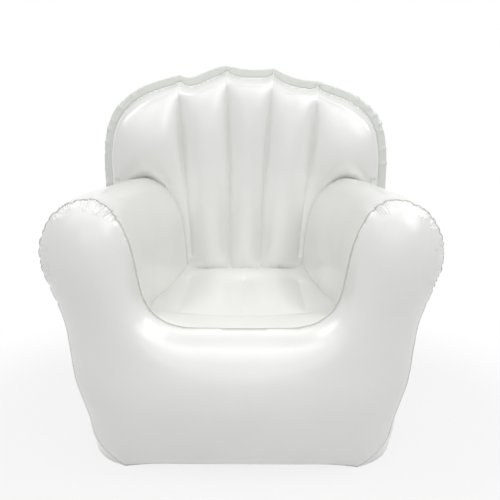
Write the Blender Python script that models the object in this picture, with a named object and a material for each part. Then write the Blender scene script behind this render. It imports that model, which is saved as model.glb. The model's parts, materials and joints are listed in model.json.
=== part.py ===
# Inflatable armchair: a base chamber with two arms, a back chamber behind it, inner baffles and two valves.
# Metres, +Z up. The front looks along -Y and the origin is on the floor, under the middle of the base.
import math

import bmesh
import bpy
import numpy as np
from mathutils import Matrix, Vector
from mathutils.geometry import delaunay_2d_cdt

# Overall sizes of the inflated chair
WIDTH = 0.925
ARM_HEIGHT = 0.634
SEAT_HEIGHT = 0.333
SEAM_DEPTH = 0.45
BACK_WIDTH = 0.816
BACK_HEIGHT = 0.915
BACK_FOOT = 0.010
BACK_LEAN = math.radians(8.0)
BACK_TOP_DRIFT = 0.015
DRIFT_POWER = 1.5
BACK_SHOULDER_TILT = 0.016

# Crowns of the inflated panels, measured from their seams
FRONT_CROWN = 0.098
FRONT_FULLNESS = 0.78
ARM_CROWN = 0.006
ARM_ROLL = 0.08
ARM_REAR_ROLL = 0.16
ARM_FLOOR_ROLL_SHARE = 0.18
ARM_SEAT_ROLL_SHARE = 0.22
FLOOR_BLEND_SHARE = 0.22
SEAT_BLEND_SHARE = 0.24
SEAT_CROWN = 0.016
SEAT_WELD_SINK = 0.003
SEAT_WELD_SPAN_SHARE = 0.33
BACK_FRONT_DEPTH = 0.070
BACK_LOBE_CROWN = 0.034
LOBE_FULLNESS = 0.6
LOBE_HALF_SPAN_SHARE = 0.18
BACK_REAR_CROWN = 0.030
BACK_REAR_WELD_DEPTH = 0.070
BACK_EDGE_DEPTH = 0.050
BACK_EDGE_ROLL = 0.040
BACK_EDGE_INSET = 0.012
GROOVE_RUN_IN = 0.055
GROOVE_TOP_DEPTH = 0.026
GROOVE_TIP = 0.016
BACK_WELD_FOOT = 0.130

# Sheet, welds and running clearances
SHEET = 0.00045
GAP = 0.0003
WELD_FLANGE = 0.004
BAFFLE_SHEET = 0.0006
LEAST_CORNER_SHARE = 0.12
LEAST_FIN_FACING = 0.2
LEAST_WALL_FACING = 0.4
SHARP_ANGLE = math.radians(40.0)

# Mesh spacing along the seams and inside the panels
PANEL_CELL = 0.046
FLAT_CELL = 0.138
GROOVE_CELL = 0.060
NET_CLEARANCE = 0.62
PAD_CLEARANCE = 0.40
PAD_SIDES = 8
LOBE_STEPS = 4
ARCH_STEPS = 400
CURVE_DETAIL = 40
ARM_STEPS = 25
DEPTH_STEPS = 9
TURN_STEPS = 28

# Valve sizes, along the valve axis from the outer face of its panel, and radii about that axis
VALVE_PAD = 0.024
FLANGE_RADIUS = 0.018
FLANGE_THICKNESS = 0.0008
FLANGE_BORE = 0.0106
PANEL_HOLE = 0.0110
HOLE_CUT_REACH = 0.0225
BOOT_SHEET = 0.0005
NECK_BORE = 0.00505
NECK_WALL = 0.0015
NECK_DEPTH = 0.012
NECK_FOOT_RADIUS = 0.0080
NECK_FOOT = 0.001
NECK_RIM_RADIUS = 0.0080
NECK_RIM_BASE = 0.0015
NECK_RIM = 0.0009
LUG_REACH = 0.0145
LUG_WIDTH = 0.006
FLAP_RADIUS = 0.0062
FLAP_SHEET = 0.0006
CAP_RADIUS = 0.0076
CAP_THICKNESS = 0.0015
PLUG_LENGTH = 0.0065
PLUG_TIP_RADIUS = 0.0034
PLUG_ROOT_RADIUS = 0.0047
HINGE_REACH = 0.0125
STRAP_WIDTH = 0.0042
STRAP_THICKNESS = 0.0009
STRAP_OVERHANG = 0.0003
TAB_REACH = 0.0125
TAB_WIDTH = 0.0060

# Where the two valves sit
BASE_VALVE_DEPTH_SHARE = 0.75
BASE_VALVE_GIRTH_SHARE = 0.20
BACK_VALVE_X = 0.100
BACK_VALVE_Z = 0.260

# Derived sizes
HALF_WIDTH = WIDTH / 2
BACK_HALF_WIDTH = BACK_WIDTH / 2
LEAN = math.tan(BACK_LEAN)
FRONT_Y = -SEAM_DEPTH / 2
REST_Y = SEAM_DEPTH / 2
FLOOR_SEAM_Z = SHEET + GAP / 2

# Front seam from the floor up the outer side, over the arm and down to the seat corner.
# Each point: share of the half width, and of the seat height (to 1) or from seat to arm top (1 to 2).
ARM_FRONT_SHARES = [
    (0.595, 0.000), (0.660, 0.045), (0.725, 0.110), (0.758, 0.188), (0.777, 0.300), (0.803, 0.413),
    (0.843, 0.590), (0.869, 0.860), (0.886, 1.020), (0.936, 1.244), (0.977, 1.394), (0.999, 1.535),
    (0.991, 1.690), (0.965, 1.785), (0.928, 1.875), (0.870, 1.947), (0.792, 1.993), (0.714, 1.995),
    (0.644, 1.930), (0.580, 1.777), (0.538, 1.588), (0.515, 1.405), (0.490, 1.239), (0.448, 1.123),
]
# Rear seam of the arm, on the leaning plane, in the same order
ARM_REAR_SHARES = [
    (0.832, 0.000), (0.854, 0.450), (0.866, 0.900), (0.872, 1.289), (0.861, 1.510), (0.828, 1.668),
    (0.770, 1.785), (0.692, 1.867), (0.603, 1.894), (0.519, 1.837), (0.443, 1.704), (0.398, 1.555),
    (0.370, 1.339), (0.360, 1.200), (0.357, 1.080),
]
# Seam on the floor beside the arm: share of the half width, and of the seam depth behind the front plane
FLOOR_SIDE_SHARES = [
    (0.595, -0.088), (0.668, -0.038), (0.737, 0.050), (0.785, 0.175), (0.818, 0.400), (0.830, 0.700),
    (0.832, 1.000),
]
# Seam on the floor in front: share of the half width and of the seam depth
FLOOR_FRONT_SHARES = [
    (-0.595, -0.088), (-0.500, -0.066), (-0.250, -0.060), (0.000, -0.060), (0.250, -0.060),
    (0.500, -0.066), (0.595, -0.088),
]
# Seam between seat and arm, front to rear: shares of the half width, the seam depth and the height
SEAT_SIDE_SHARES = [
    (0.448, 0.000, 1.123), (0.476, 0.100, 1.070), (0.492, 0.220, 1.030), (0.493, 0.444, 1.008),
    (0.432, 0.756, 1.006), (0.357, 1.000, 1.080),
]
# Front and rear seams of the seat, from its side to the middle: share of the half width and of the height
SEAT_FRONT_SHARES = [(0.448, 1.123), (0.372, 1.035), (0.300, 1.003), (0.150, 0.993), (0.000, 0.991)]
SEAT_REAR_SHARES = [(0.357, 1.080), (0.300, 1.045), (0.200, 1.032), (0.000, 1.027)]
# Outline of the back from the middle of its foot round to the middle of its top:
# share of its half width, and of its height above the foot
BACK_SIDE_SHARES = [
    (0.000, 0.000), (0.450, 0.000), (0.800, 0.000), (0.925, 0.014), (0.982, 0.062), (0.997, 0.165),
    (1.000, 0.380), (1.000, 0.600), (1.000, 0.750), (0.979, 0.805), (0.930, 0.852), (0.848, 0.890),
    (0.745, 0.920), (0.620, 0.941), (0.491, 0.957),
]
BACK_TOP_SHARES = [(0.491, 0.957), (0.322, 0.977), (0.160, 0.993), (0.000, 1.000)]
# Scallops between the tops of the weld lines, right to left: skew, and depth in metres
SCALLOPS = [(1.1, 0.010), (1.0, 0.014), (2.2, 0.014)]
# Weld lines of the back, inner and outer: share of its half width, and from seat level to the line's top
INNER_GROOVE_SHARES = [(0.108, 0.025), (0.112, 0.208), (0.118, 0.416), (0.136, 0.666), (0.166, 1.000)]
OUTER_GROOVE_SHARES = [(0.376, 0.094), (0.404, 0.353), (0.437, 0.552), (0.466, 0.773), (0.489, 1.000)]
# Rows of net points along each lobe, as shares of the way from one weld line to the next
CREST_SHARES = (0.25, 0.50, 0.75)
# The back's front sheet lies on the base chamber up to this share of the back's half width
CONTACT_HALF_WIDTH_SHARE = 0.870
CONTACT_FOOT_SHARE = 0.061
CONTACT_SHOULDER_SHARE = 1.7
CONTACT_SHOULDER_GAP = 0.0153
ARM_CORE_SHARE = 0.72
# Weld lines of the seat: share of the half width at their rear and front ends, and of the seam depth there
SEAT_WELD_SHARES = {
    "left": ((-0.320, 0.900), (-0.335, 0.205)),
    "centre": ((0.000, 0.760), (0.000, 0.205)),
    "right": ((0.320, 0.820), (0.335, 0.205)),
}
SEAT_CROSS_SHARES = [(-0.345, 0.175), (0.000, 0.150), (0.345, 0.175)]

FRONT_SHEET_COLOUR = (0.83, 0.84, 0.84, 1.0)
BAFFLE_COLOUR = (0.78, 0.80, 0.80, 1.0)
VALVE_COLOUR = (0.86, 0.87, 0.87, 1.0)
SHEET_ROUGHNESS = 0.28
VALVE_ROUGHNESS = 0.38


def clear_scene():
    for item in list(bpy.data.objects):
        bpy.data.objects.remove(item, do_unlink=True)


def vinyl(name, colour, roughness):
    material = bpy.data.materials.new(name)
    material.use_nodes = True
    shader = material.node_tree.nodes["Principled BSDF"]
    shader.inputs["Base Color"].default_value = colour
    shader.inputs["Roughness"].default_value = roughness
    shader.inputs["Metallic"].default_value = 0.0
    material.diffuse_color = colour
    return material


def add_object(name, mesh, material):
    item = bpy.data.objects.new(name, mesh)
    bpy.context.scene.collection.objects.link(item)
    mesh.materials.append(material)
    mesh.shade_smooth()
    mesh.set_sharp_from_angle(angle=SHARP_ANGLE)
    return item


# Curves

def smooth_curve(points, steps):
    """Evenly spaced points on a smooth curve through the given ones."""
    points = np.asarray(points, dtype=float)
    lengths = np.linalg.norm(np.diff(points, axis=0), axis=1)
    knots = np.concatenate([[0.0], np.cumsum(lengths)])
    slopes = np.gradient(points, knots, axis=0, edge_order=2)
    dense = np.linspace(0.0, knots[-1], CURVE_DETAIL * len(points))
    cell = np.clip(np.searchsorted(knots, dense, side="right") - 1, 0, len(points) - 2)
    span = knots[cell + 1] - knots[cell]
    t = ((dense - knots[cell]) / span)[:, None]
    span = span[:, None]
    curve = ((2 * t**3 - 3 * t**2 + 1) * points[cell] + (t**3 - 2 * t**2 + t) * span * slopes[cell]
             + (3 * t**2 - 2 * t**3) * points[cell + 1] + (t**3 - t**2) * span * slopes[cell + 1])
    return even_points(curve, steps)


def even_points(curve, steps):
    lengths = np.linalg.norm(np.diff(curve, axis=0), axis=1)
    reach = np.concatenate([[0.0], np.cumsum(lengths)])
    places = np.linspace(0.0, reach[-1], steps + 1)
    return np.stack([np.interp(places, reach, curve[:, axis]) for axis in range(curve.shape[1])], axis=1)


def steps_for(curve, cell):
    return max(2, round(float(np.linalg.norm(np.diff(curve, axis=0), axis=1).sum()) / cell))


def height(share):
    """Height of a share: 0 to 1 is floor to seat, 1 to 2 is seat to arm top."""
    return SEAT_HEIGHT * min(share, 1.0) + (ARM_HEIGHT - SEAT_HEIGHT) * max(share - 1.0, 0.0)


def rest_plane(z):
    """Y of the leaning plane where the base chamber meets the back, at a height."""
    return REST_Y + z * LEAN


def back_plane(z):
    """Y of the plane of the back's perimeter seam."""
    return rest_plane(z) + BACK_FRONT_DEPTH


def mirrored(curve):
    return curve * np.array([-1.0, 1.0, 1.0])


class Seams:
    """The seam curves that neighbouring panels share, as arrays of points."""

    def __init__(self):
        ear_y = FRONT_Y + FLOOR_SIDE_SHARES[0][1] * SEAM_DEPTH
        tuck = height(ARM_FRONT_SHARES[3][1])
        front = []
        for x, share in ARM_FRONT_SHARES:
            z = height(share)
            pull = max(1.0 - z / tuck, 0.0) ** 2
            front.append((x * HALF_WIDTH, FRONT_Y + (ear_y - FRONT_Y) * pull, max(z, FLOOR_SEAM_Z)))
        rear = []
        for x, share in ARM_REAR_SHARES:
            z = max(height(share), FLOOR_SEAM_Z)
            rear.append((x * HALF_WIDTH, rest_plane(z), z))
        floor = [(x * HALF_WIDTH, FRONT_Y + y * SEAM_DEPTH, FLOOR_SEAM_Z) for x, y in FLOOR_SIDE_SHARES]
        floor[-1] = rear[0]
        seat = [(x * HALF_WIDTH, FRONT_Y + y * SEAM_DEPTH, height(z)) for x, y, z in SEAT_SIDE_SHARES]
        seat[-1] = rear[-1]
        self.arm_front = smooth_curve(front, ARM_STEPS)
        self.arm_rear = smooth_curve(rear, ARM_STEPS)
        self.floor_side = smooth_curve(floor, DEPTH_STEPS)
        self.seat_side = smooth_curve(seat, DEPTH_STEPS)
        self.floor_side[:, 2] = FLOOR_SEAM_Z
        self.arm_rear[:, 1] = rest_plane(self.arm_rear[:, 2])
        floor_front = [(x * HALF_WIDTH, FRONT_Y + y * SEAM_DEPTH, FLOOR_SEAM_Z) for x, y in FLOOR_FRONT_SHARES]
        self.floor_front = smooth_curve(floor_front, steps_for(np.array(floor_front), PANEL_CELL))
        rear_ends = np.array([mirrored(self.arm_rear[0]), self.arm_rear[0]])
        self.floor_rear = even_points(rear_ends, steps_for(rear_ends, PANEL_CELL))
        self.seat_front = self.seat_edge(SEAT_FRONT_SHARES, False)
        self.seat_rear = self.seat_edge(SEAT_REAR_SHARES, True)
        self.back = self.back_outline()
        self.grooves = self.back_grooves()

    def seat_edge(self, shares, leaning):
        """A seam across the seat, from its left corner to its right one."""
        right = [(x * HALF_WIDTH, height(z)) for x, z in shares]
        across = [(-x, z) for x, z in right] + [point for point in reversed(right[:-1])]
        points = np.array([(x, rest_plane(z) if leaning else FRONT_Y, z) for x, z in across])
        curve = smooth_curve(points, steps_for(points, PANEL_CELL))
        curve[:, 1] = rest_plane(curve[:, 2]) if leaning else FRONT_Y
        return curve

    def back_outline(self):
        """Closed outline of the back as x and z, anticlockwise from the middle of its foot."""
        rise = BACK_HEIGHT - BACK_FOOT
        side = np.array([(x * BACK_HALF_WIDTH, BACK_FOOT + z * rise) for x, z in BACK_SIDE_SHARES])
        side = smooth_curve(side, steps_for(side, PANEL_CELL))
        top = np.array([(x * BACK_HALF_WIDTH, BACK_FOOT + z * rise) for x, z in BACK_TOP_SHARES])
        arch = smooth_curve(np.concatenate([top, top[-2::-1] * (-1.0, 1.0)]), ARCH_STEPS)
        tips = [OUTER_GROOVE_SHARES[-1][0], INNER_GROOVE_SHARES[-1][0]]
        tips = [share * BACK_HALF_WIDTH for share in tips]
        tips = tips + [-x for x in reversed(tips)]
        pieces = [side]
        for start, end, (skew, depth) in zip(tips[:-1], tips[1:], SCALLOPS):
            inside = arch[(arch[:, 0] < start) & (arch[:, 0] > end)]
            ends = [(x, np.interp(-x, -arch[:, 0], arch[:, 1])) for x in (start, end)]
            lobe = even_points(np.concatenate([[ends[0]], inside, [ends[1]]]), LOBE_STEPS)
            lobe[:, 1] -= depth * np.sin(math.pi * np.linspace(0.0, 1.0, len(lobe)) ** skew)
            pieces.append(lobe[1:])
        pieces.append((side * (-1.0, 1.0))[-2:0:-1])
        outline = np.concatenate(pieces)
        reach = outline[:, 0] / BACK_HALF_WIDTH
        outline[:, 0] += drift(outline[:, 1]) * (1.0 - reach**2)
        outline[:, 1] -= BACK_SHOULDER_TILT * reach * (1.5 - reach**2) * upper(outline[:, 1])
        return outline

    def back_grooves(self):
        """The four weld lines of the back, each from its top to its foot, as x and z."""
        arch = np.array(BACK_TOP_SHARES[::-1])
        lines = []
        for shares in (OUTER_GROOVE_SHARES, INNER_GROOVE_SHARES):
            top = BACK_FOOT + np.interp(shares[-1][0], arch[:, 0], arch[:, 1]) * (BACK_HEIGHT - BACK_FOOT)
            span = top - GROOVE_TIP - SEAT_HEIGHT
            line = np.array([(x * BACK_HALF_WIDTH, SEAT_HEIGHT + z * span) for x, z in shares])
            line = smooth_curve(line, steps_for(line, GROOVE_CELL))[::-1]
            lines += [line, line * (-1.0, 1.0)]
        for line in lines:
            reach = line[:, 0] / BACK_HALF_WIDTH
            line[:, 0] += drift(line[:, 1]) * (1.0 - reach**2)
        return sorted(lines, key=lambda line: line[0, 0])


def upper(z):
    """Share of the way from seat level to the top of the back."""
    return np.clip((z - SEAT_HEIGHT) / (BACK_HEIGHT - SEAT_HEIGHT), 0.0, 1.0)


def drift(z):
    """Sideways drift of the back towards its top."""
    return BACK_TOP_DRIFT * upper(z) ** DRIFT_POWER


# Flat outlines filled with triangles

def inside_outline(points, outline):
    """True for each point that is inside a closed outline."""
    x, y = points[:, 0][:, None], points[:, 1][:, None]
    ax, ay = outline[:, 0][None, :], outline[:, 1][None, :]
    bx, by = np.roll(ax, -1, axis=1), np.roll(ay, -1, axis=1)
    level = (ay > y) != (by > y)
    run = np.where(by == ay, 1.0, by - ay)
    return (level & (x < (bx - ax) * (y - ay) / run + ax)).sum(axis=1) % 2 == 1


def distance_to(points, samples):
    gaps = points[:, None, :] - samples[None, :, :]
    return np.sqrt((gaps**2).sum(axis=2)).min(axis=1)


def fill_outline(outline, lines, cell, pads=()):
    """Triangles inside an outline, with inner lines kept as edges and round pads kept free."""
    rings = []
    for centre, radius in pads:
        turn = np.linspace(0.0, 2 * math.pi, PAD_SIDES + 1)[:-1]
        rings.append(np.array(centre) + radius * np.stack([np.cos(turn), np.sin(turn)], axis=1))
    fixed = np.concatenate([outline] + list(lines) + rings)
    low, high = outline.min(axis=0), outline.max(axis=0)
    rows = []
    row_step = cell * math.sqrt(3) / 2
    for row in range(int((high[1] - low[1]) / row_step) + 1):
        xs = np.arange(low[0] + (row % 2) * cell / 2, high[0], cell)
        rows.append(np.stack([xs, np.full(len(xs), low[1] + (row + 0.5) * row_step)], axis=1))
    grid = np.concatenate(rows)
    grid = grid[inside_outline(grid, outline)]
    grid = grid[distance_to(grid, fixed) > NET_CLEARANCE * cell]
    for centre, radius in pads:
        grid = grid[np.linalg.norm(grid - np.array(centre), axis=1) > radius + PAD_CLEARANCE * cell]
    points = np.concatenate([fixed, grid])
    edges = []
    start = len(outline)
    for line in lines:
        edges += [(start + step, start + step + 1) for step in range(len(line) - 1)]
        start += len(line)
    for ring in rings:
        edges += [(start + step, start + (step + 1) % len(ring)) for step in range(len(ring))]
        start += len(ring)
    border = list(range(len(outline)))
    result = delaunay_2d_cdt([Vector(point) for point in points], edges, [border], 1, cell * 1e-6)
    flat = np.array([tuple(point) for point in result[0]])
    triangles = np.array([list(face) for face in result[2]])
    loop = [next(new for new, old in enumerate(result[3]) if index in old) for index in border]
    return flat, triangles, loop


def net_weights(flat, triangles):
    """Edges of a flat net of triangles with their cotangent weights."""
    ends, weights = [], []
    for a, b, c in ((0, 1, 2), (1, 2, 0), (2, 0, 1)):
        first = flat[triangles[:, b]] - flat[triangles[:, a]]
        second = flat[triangles[:, c]] - flat[triangles[:, a]]
        cross = np.abs(first[:, 0] * second[:, 1] - first[:, 1] * second[:, 0])
        weights.append(0.5 * (first * second).sum(axis=1) / cross)
        ends.append(triangles[:, [b, c]])
    return np.concatenate(ends), np.concatenate(weights)


def node_areas(flat, triangles):
    first = flat[triangles[:, 1]] - flat[triangles[:, 0]]
    second = flat[triangles[:, 2]] - flat[triangles[:, 0]]
    areas = np.abs(first[:, 0] * second[:, 1] - first[:, 1] * second[:, 0]) / 2
    shares = np.repeat(areas / 3, 3)
    return np.bincount(triangles.ravel(), weights=shares, minlength=len(flat))


def membrane(flat, triangles, held, levels, load):
    """Heights of a stretched sheet under pressure that is held at some of its points."""
    ends, weights = net_weights(flat, triangles)
    count = len(flat)
    heights = np.zeros(count)
    heights[held] = levels
    free = np.ones(count, dtype=bool)
    free[held] = False

    def pull(values):
        flow = weights * (values[ends[:, 0]] - values[ends[:, 1]])
        return (np.bincount(ends[:, 0], weights=flow, minlength=count)
                - np.bincount(ends[:, 1], weights=flow, minlength=count))

    rest = (load * node_areas(flat, triangles) - pull(heights)) * free
    step = rest.copy()
    size = float(rest @ rest)
    goal = size * 1e-16
    for _ in range(4 * count):
        if size <= goal:
            break
        answer = pull(step) * free
        reach = size / float(step @ answer)
        heights = heights + reach * step
        rest = rest - reach * answer
        new_size = float(rest @ rest)
        step = rest + step * (new_size / size)
        size = new_size
    return heights


# Sheets with a wall, mitred and flanged along their seams

class Panel:
    """One sheet of a chamber: its outer face, and its border with a flange height at each point."""

    def __init__(self, name, points, triangles, loop, flanges):
        self.name = name
        self.points = np.asarray(points, dtype=float)
        self.triangles = np.asarray(triangles)
        self.loop = list(loop)
        self.flanges = np.asarray(flanges, dtype=float)

    def face_outwards(self, direction):
        """Turns the triangles so that most of them look along a direction (one, or one per point)."""
        normals = self.corner_normals()
        if float((normals * direction).sum()) < 0.0:
            self.triangles = self.triangles[:, ::-1]

    def corner_normals(self):
        corners = self.points[self.triangles]
        normals = np.cross(corners[:, 1] - corners[:, 0], corners[:, 2] - corners[:, 0])
        total = np.zeros_like(self.points)
        for corner in range(3):
            np.add.at(total, self.triangles[:, corner], normals)
        return total / np.maximum(np.linalg.norm(total, axis=1), 1e-15)[:, None]

    def border_edges(self):
        """Each edge of the border with the direction from it into the panel."""
        on_border = {}
        for triangle in self.triangles:
            for corner in range(3):
                pair = frozenset((int(triangle[corner]), int(triangle[corner - 1])))
                on_border[pair] = int(triangle[corner - 2])
        found = []
        for place, index in enumerate(self.loop):
            start, end = self.points[self.loop[place - 1]], self.points[index]
            third = self.points[on_border[frozenset((self.loop[place - 1], index))]]
            along = (end - start) / np.linalg.norm(end - start)
            inward = (third - start) - along * float((third - start) @ along)
            found.append((frozenset((key_of(start), key_of(end))), inward / np.linalg.norm(inward)))
        return found


def key_of(point):
    return tuple(int(round(float(value) / (GAP / 10))) for value in point)


class Seaming:
    """What panels share along their seams: directions and heights of the fins, and each panel's side."""

    def __init__(self, panels):
        self.fins = {}
        self.flanges = {}
        self.sides = {}
        for panel in panels:
            normals = panel.corner_normals()
            for index, flange in zip(panel.loop, panel.flanges):
                key = key_of(panel.points[index])
                self.fins[key] = self.fins.get(key, np.zeros(3)) + normals[index]
                self.flanges[key] = min(self.flanges.get(key, WELD_FLANGE), flange)
            for edge, inward in panel.border_edges():
                self.sides.setdefault(edge, {})[panel.name] = inward
        floor = key_of((0.0, 0.0, FLOOR_SEAM_Z))[2]
        for key, total in self.fins.items():
            if key[2] == floor:
                total = total * (1.0, 1.0, 0.0)
            self.fins[key] = total / np.linalg.norm(total)

    def across(self, name, start, end, fin):
        """Square to a seam edge and its fin, towards the named panel."""
        direction = np.cross(end - start, fin)
        direction = direction / max(np.linalg.norm(direction), 1e-12)
        lean = 0.0
        for owner, inward in self.sides[frozenset((key_of(start), key_of(end)))].items():
            lean += float(direction @ inward) * (1.0 if owner == name else -1.0)
        return direction if lean >= 0.0 else -direction


def panel_object(panel, seaming, material):
    """The closed solid of a panel: outer face, inner face and the flanged rim between them."""
    normals = panel.corner_normals()
    outer = panel.points.copy()
    inner = outer - normals * SHEET
    loop = panel.loop
    count = len(loop)
    tips, lips = [], []
    for place, index in enumerate(loop):
        seam = panel.points[index]
        fin = seaming.fins[key_of(seam)]
        normal = normals[index]
        first = seaming.across(panel.name, panel.points[loop[place - 1]], seam, fin)
        second = seaming.across(panel.name, seam, panel.points[loop[(place + 1) % count]], fin)
        across = (first + second) / max(1.0 + float(first @ second), LEAST_CORNER_SHARE)
        facing = float(fin @ normal)
        flange = seaming.flanges[key_of(seam)]
        near = seam + across * GAP / 2
        far = seam + across * (GAP / 2 + SHEET)
        if facing < LEAST_FIN_FACING:
            inner[index] = near - fin * SHEET
            outer[index] = far
            tips.append(near + fin * flange)
            lips.append(far + fin * flange)
            continue
        back = float(across @ normal) / facing
        wall = SHEET / max(facing, LEAST_WALL_FACING)
        if flange > 0.0:
            inner[index] = near - fin * (wall + back * GAP / 2)
            outer[index] = far - fin * back * (GAP / 2 + SHEET)
            tips.append(near + fin * flange)
            lips.append(far + fin * flange)
        else:
            outer[index] = near - fin * back * GAP / 2
            inner[index] = outer[index] - fin * wall
            tips.append(outer[index])
            lips.append(outer[index])
    size = len(outer)
    points = np.concatenate([outer, inner, np.array(tips), np.array(lips)])
    faces = [tuple(face) for face in panel.triangles]
    faces += [tuple(size + index for index in reversed(face)) for face in panel.triangles]
    for place in range(count):
        ends = sorted((place, (place + 1) % count), key=lambda step: key_of(panel.points[loop[step]]))
        rim = []
        for step in ends:
            rim.append((loop[step], 2 * size + count + step, 2 * size + step, size + loop[step]))
        for column in range(3):
            corners = (rim[0][column], rim[0][column + 1], rim[1][column + 1], rim[1][column])
            faces.append(corners[:3])
            faces.append((corners[0], corners[2], corners[3]))
    return closed_object(panel.name, points, faces, material)


def closed_object(name, points, faces, material):
    mesh = bpy.data.meshes.new(name)
    mesh.from_pydata([tuple(point) for point in points], [], [tuple(int(i) for i in face) for face in faces])
    shape = bmesh.new()
    shape.from_mesh(mesh)
    bmesh.ops.remove_doubles(shape, verts=shape.verts, dist=SHEET * 1e-3)
    bmesh.ops.recalc_face_normals(shape, faces=shape.faces)
    shape.to_mesh(mesh)
    shape.free()
    return add_object(name, mesh, material)


def joined(*stretches):
    """One closed loop of points from seam stretches, with the lower flange where two meet."""
    points, flanges = [], []
    for curve, flange in stretches:
        if points:
            flanges[-1] = min(flanges[-1], flange)
            curve = curve[1:]
        points += list(curve)
        flanges += [flange] * len(curve)
    flanges[0] = min(flanges[0], flanges[-1])
    return np.array(points[:-1]), flanges[:-1]


# Panels of the base chamber

def front_panel(seams):
    border, flanges = joined(
        (seams.floor_front, WELD_FLANGE), (seams.arm_front, WELD_FLANGE),
        (seams.seat_front[::-1], WELD_FLANGE), (mirrored(seams.arm_front)[::-1], WELD_FLANGE))
    flat, triangles, loop = fill_outline(border[:, [0, 2]], [], PANEL_CELL)
    seam_y = membrane(flat, triangles, loop, border[:, 1], 0.0)
    swell = membrane(flat, triangles, loop, np.zeros(len(loop)), 1.0)
    swell = FRONT_CROWN * (np.maximum(swell, 0.0) / swell.max()) ** FRONT_FULLNESS
    points = np.stack([flat[:, 0], seam_y - swell, flat[:, 1]], axis=1)
    points[loop] = border
    panel = Panel("front_panel", points, triangles, loop, flanges)
    panel.face_outwards(np.array([0.0, -1.0, 0.0]))
    return panel


def arm_surface(seams, across, along):
    """Right arm: a smooth patch between its four seams, swollen between them, at grid shares."""
    def at(curve, shares):
        places = shares * (len(curve) - 1)
        return np.stack([np.interp(places, np.arange(len(curve)), curve[:, axis]) for axis in range(3)], axis=1)
    front, rear = at(seams.arm_front, across), at(seams.arm_rear, across)
    floor, seat = at(seams.floor_side, along), at(seams.seat_side, along)
    v = along[None, :, None]
    patch = front[:, None] * (1 - v) + rear[:, None] * v
    near_floor = 1.0 - rounded(across / FLOOR_BLEND_SHARE)[:, None, None]
    near_seat = 1.0 - rounded((1.0 - across) / SEAT_BLEND_SHARE)[:, None, None]
    patch = patch + near_floor * (floor - patch[0])[None] + near_seat * (seat - patch[-1])[None]
    down = np.gradient(patch, axis=0)
    back = np.gradient(patch, axis=1)
    out = np.cross(back, down)
    out = out / np.maximum(np.linalg.norm(out, axis=2, keepdims=True), 1e-12)
    length = SEAM_DEPTH * along
    roll = rounded(length / ARM_ROLL) * rounded((SEAM_DEPTH - length) / ARM_REAR_ROLL)
    ends = rounded(across / ARM_FLOOR_ROLL_SHARE) * rounded((1 - across) / ARM_SEAT_ROLL_SHARE)
    return patch + out * (ARM_CROWN * ends[:, None] * roll[None, :])[:, :, None]


def rounded(share):
    """Quarter-round rise from 0 to 1, then level."""
    return 1.0 - (1.0 - np.clip(share, 0.0, 1.0)) ** 2


def arm_panel(seams, name, side):
    across = np.linspace(0.0, 1.0, ARM_STEPS + 1)
    along = np.linspace(0.0, 1.0, DEPTH_STEPS + 1)
    grid = arm_surface(seams, across, along)
    if side > 0:
        level_cell(grid)
    rows, columns = grid.shape[:2]
    points = grid.reshape(-1, 3)
    index = np.arange(rows * columns).reshape(rows, columns)
    triangles = []
    for row in range(rows - 1):
        for column in range(columns - 1):
            a, b = index[row, column], index[row, column + 1]
            c, d = index[row + 1, column + 1], index[row + 1, column]
            triangles += [(a, b, c), (a, c, d)]
    loop = list(index[:, 0]) + list(index[-1, 1:]) + list(index[-2::-1, -1]) + list(index[0, -2:0:-1])
    flanges = ([WELD_FLANGE] * (rows - 1) + [0.0] * (columns + rows - 1)
               + [WELD_FLANGE] * (columns - 2))
    points[loop] = np.concatenate([seams.arm_front, seams.seat_side[1:], seams.arm_rear[-2::-1],
                                   seams.floor_side[-2:0:-1]])
    if side < 0:
        points = mirrored(points)
    panel = Panel(name, points, triangles, loop, flanges)
    core = np.array([side * ARM_CORE_SHARE * HALF_WIDTH, 0.0, 0.0])
    panel.face_outwards((points - core) * (1.0, 0.0, 0.0) * (points[:, 2:3] < SEAT_HEIGHT))
    return panel


def valve_cell():
    """Row and column of the arm's grid cell that carries the base valve."""
    return round(BASE_VALVE_GIRTH_SHARE * ARM_STEPS), round(BASE_VALVE_DEPTH_SHARE * DEPTH_STEPS)


def level_cell(grid):
    """Brings the four corners of the valve's cell into one plane."""
    row, column = valve_cell()
    corners = grid[row:row + 2, column:column + 2].reshape(-1, 3)
    centre, normal = cell_plane(grid)
    for step, corner in enumerate(corners):
        flat = corner - normal * float((corner - centre) @ normal)
        grid[row + step // 2, column + step % 2] = flat


def cell_plane(grid):
    row, column = valve_cell()
    a, b = grid[row, column], grid[row, column + 1]
    c, d = grid[row + 1, column + 1], grid[row + 1, column]
    normal = np.cross(c - a, d - b)
    normal = normal / np.linalg.norm(normal)
    centre = (a + b + c + d) / 4
    return centre, normal if normal[0] > 0 else -normal


def seat_lines(seams):
    """Weld lines of the seat as x and y: three along it and one across its front."""
    lines = {}
    for name, (rear, front) in SEAT_WELD_SHARES.items():
        ends = np.array([(x * HALF_WIDTH, FRONT_Y + y * SEAM_DEPTH) for x, y in (rear, front)])
        lines[name] = even_points(ends, steps_for(ends, PANEL_CELL))
    cross = np.array([(x * HALF_WIDTH, FRONT_Y + y * SEAM_DEPTH) for x, y in SEAT_CROSS_SHARES])
    lines["cross"] = smooth_curve(cross, steps_for(cross, PANEL_CELL))
    return lines


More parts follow.
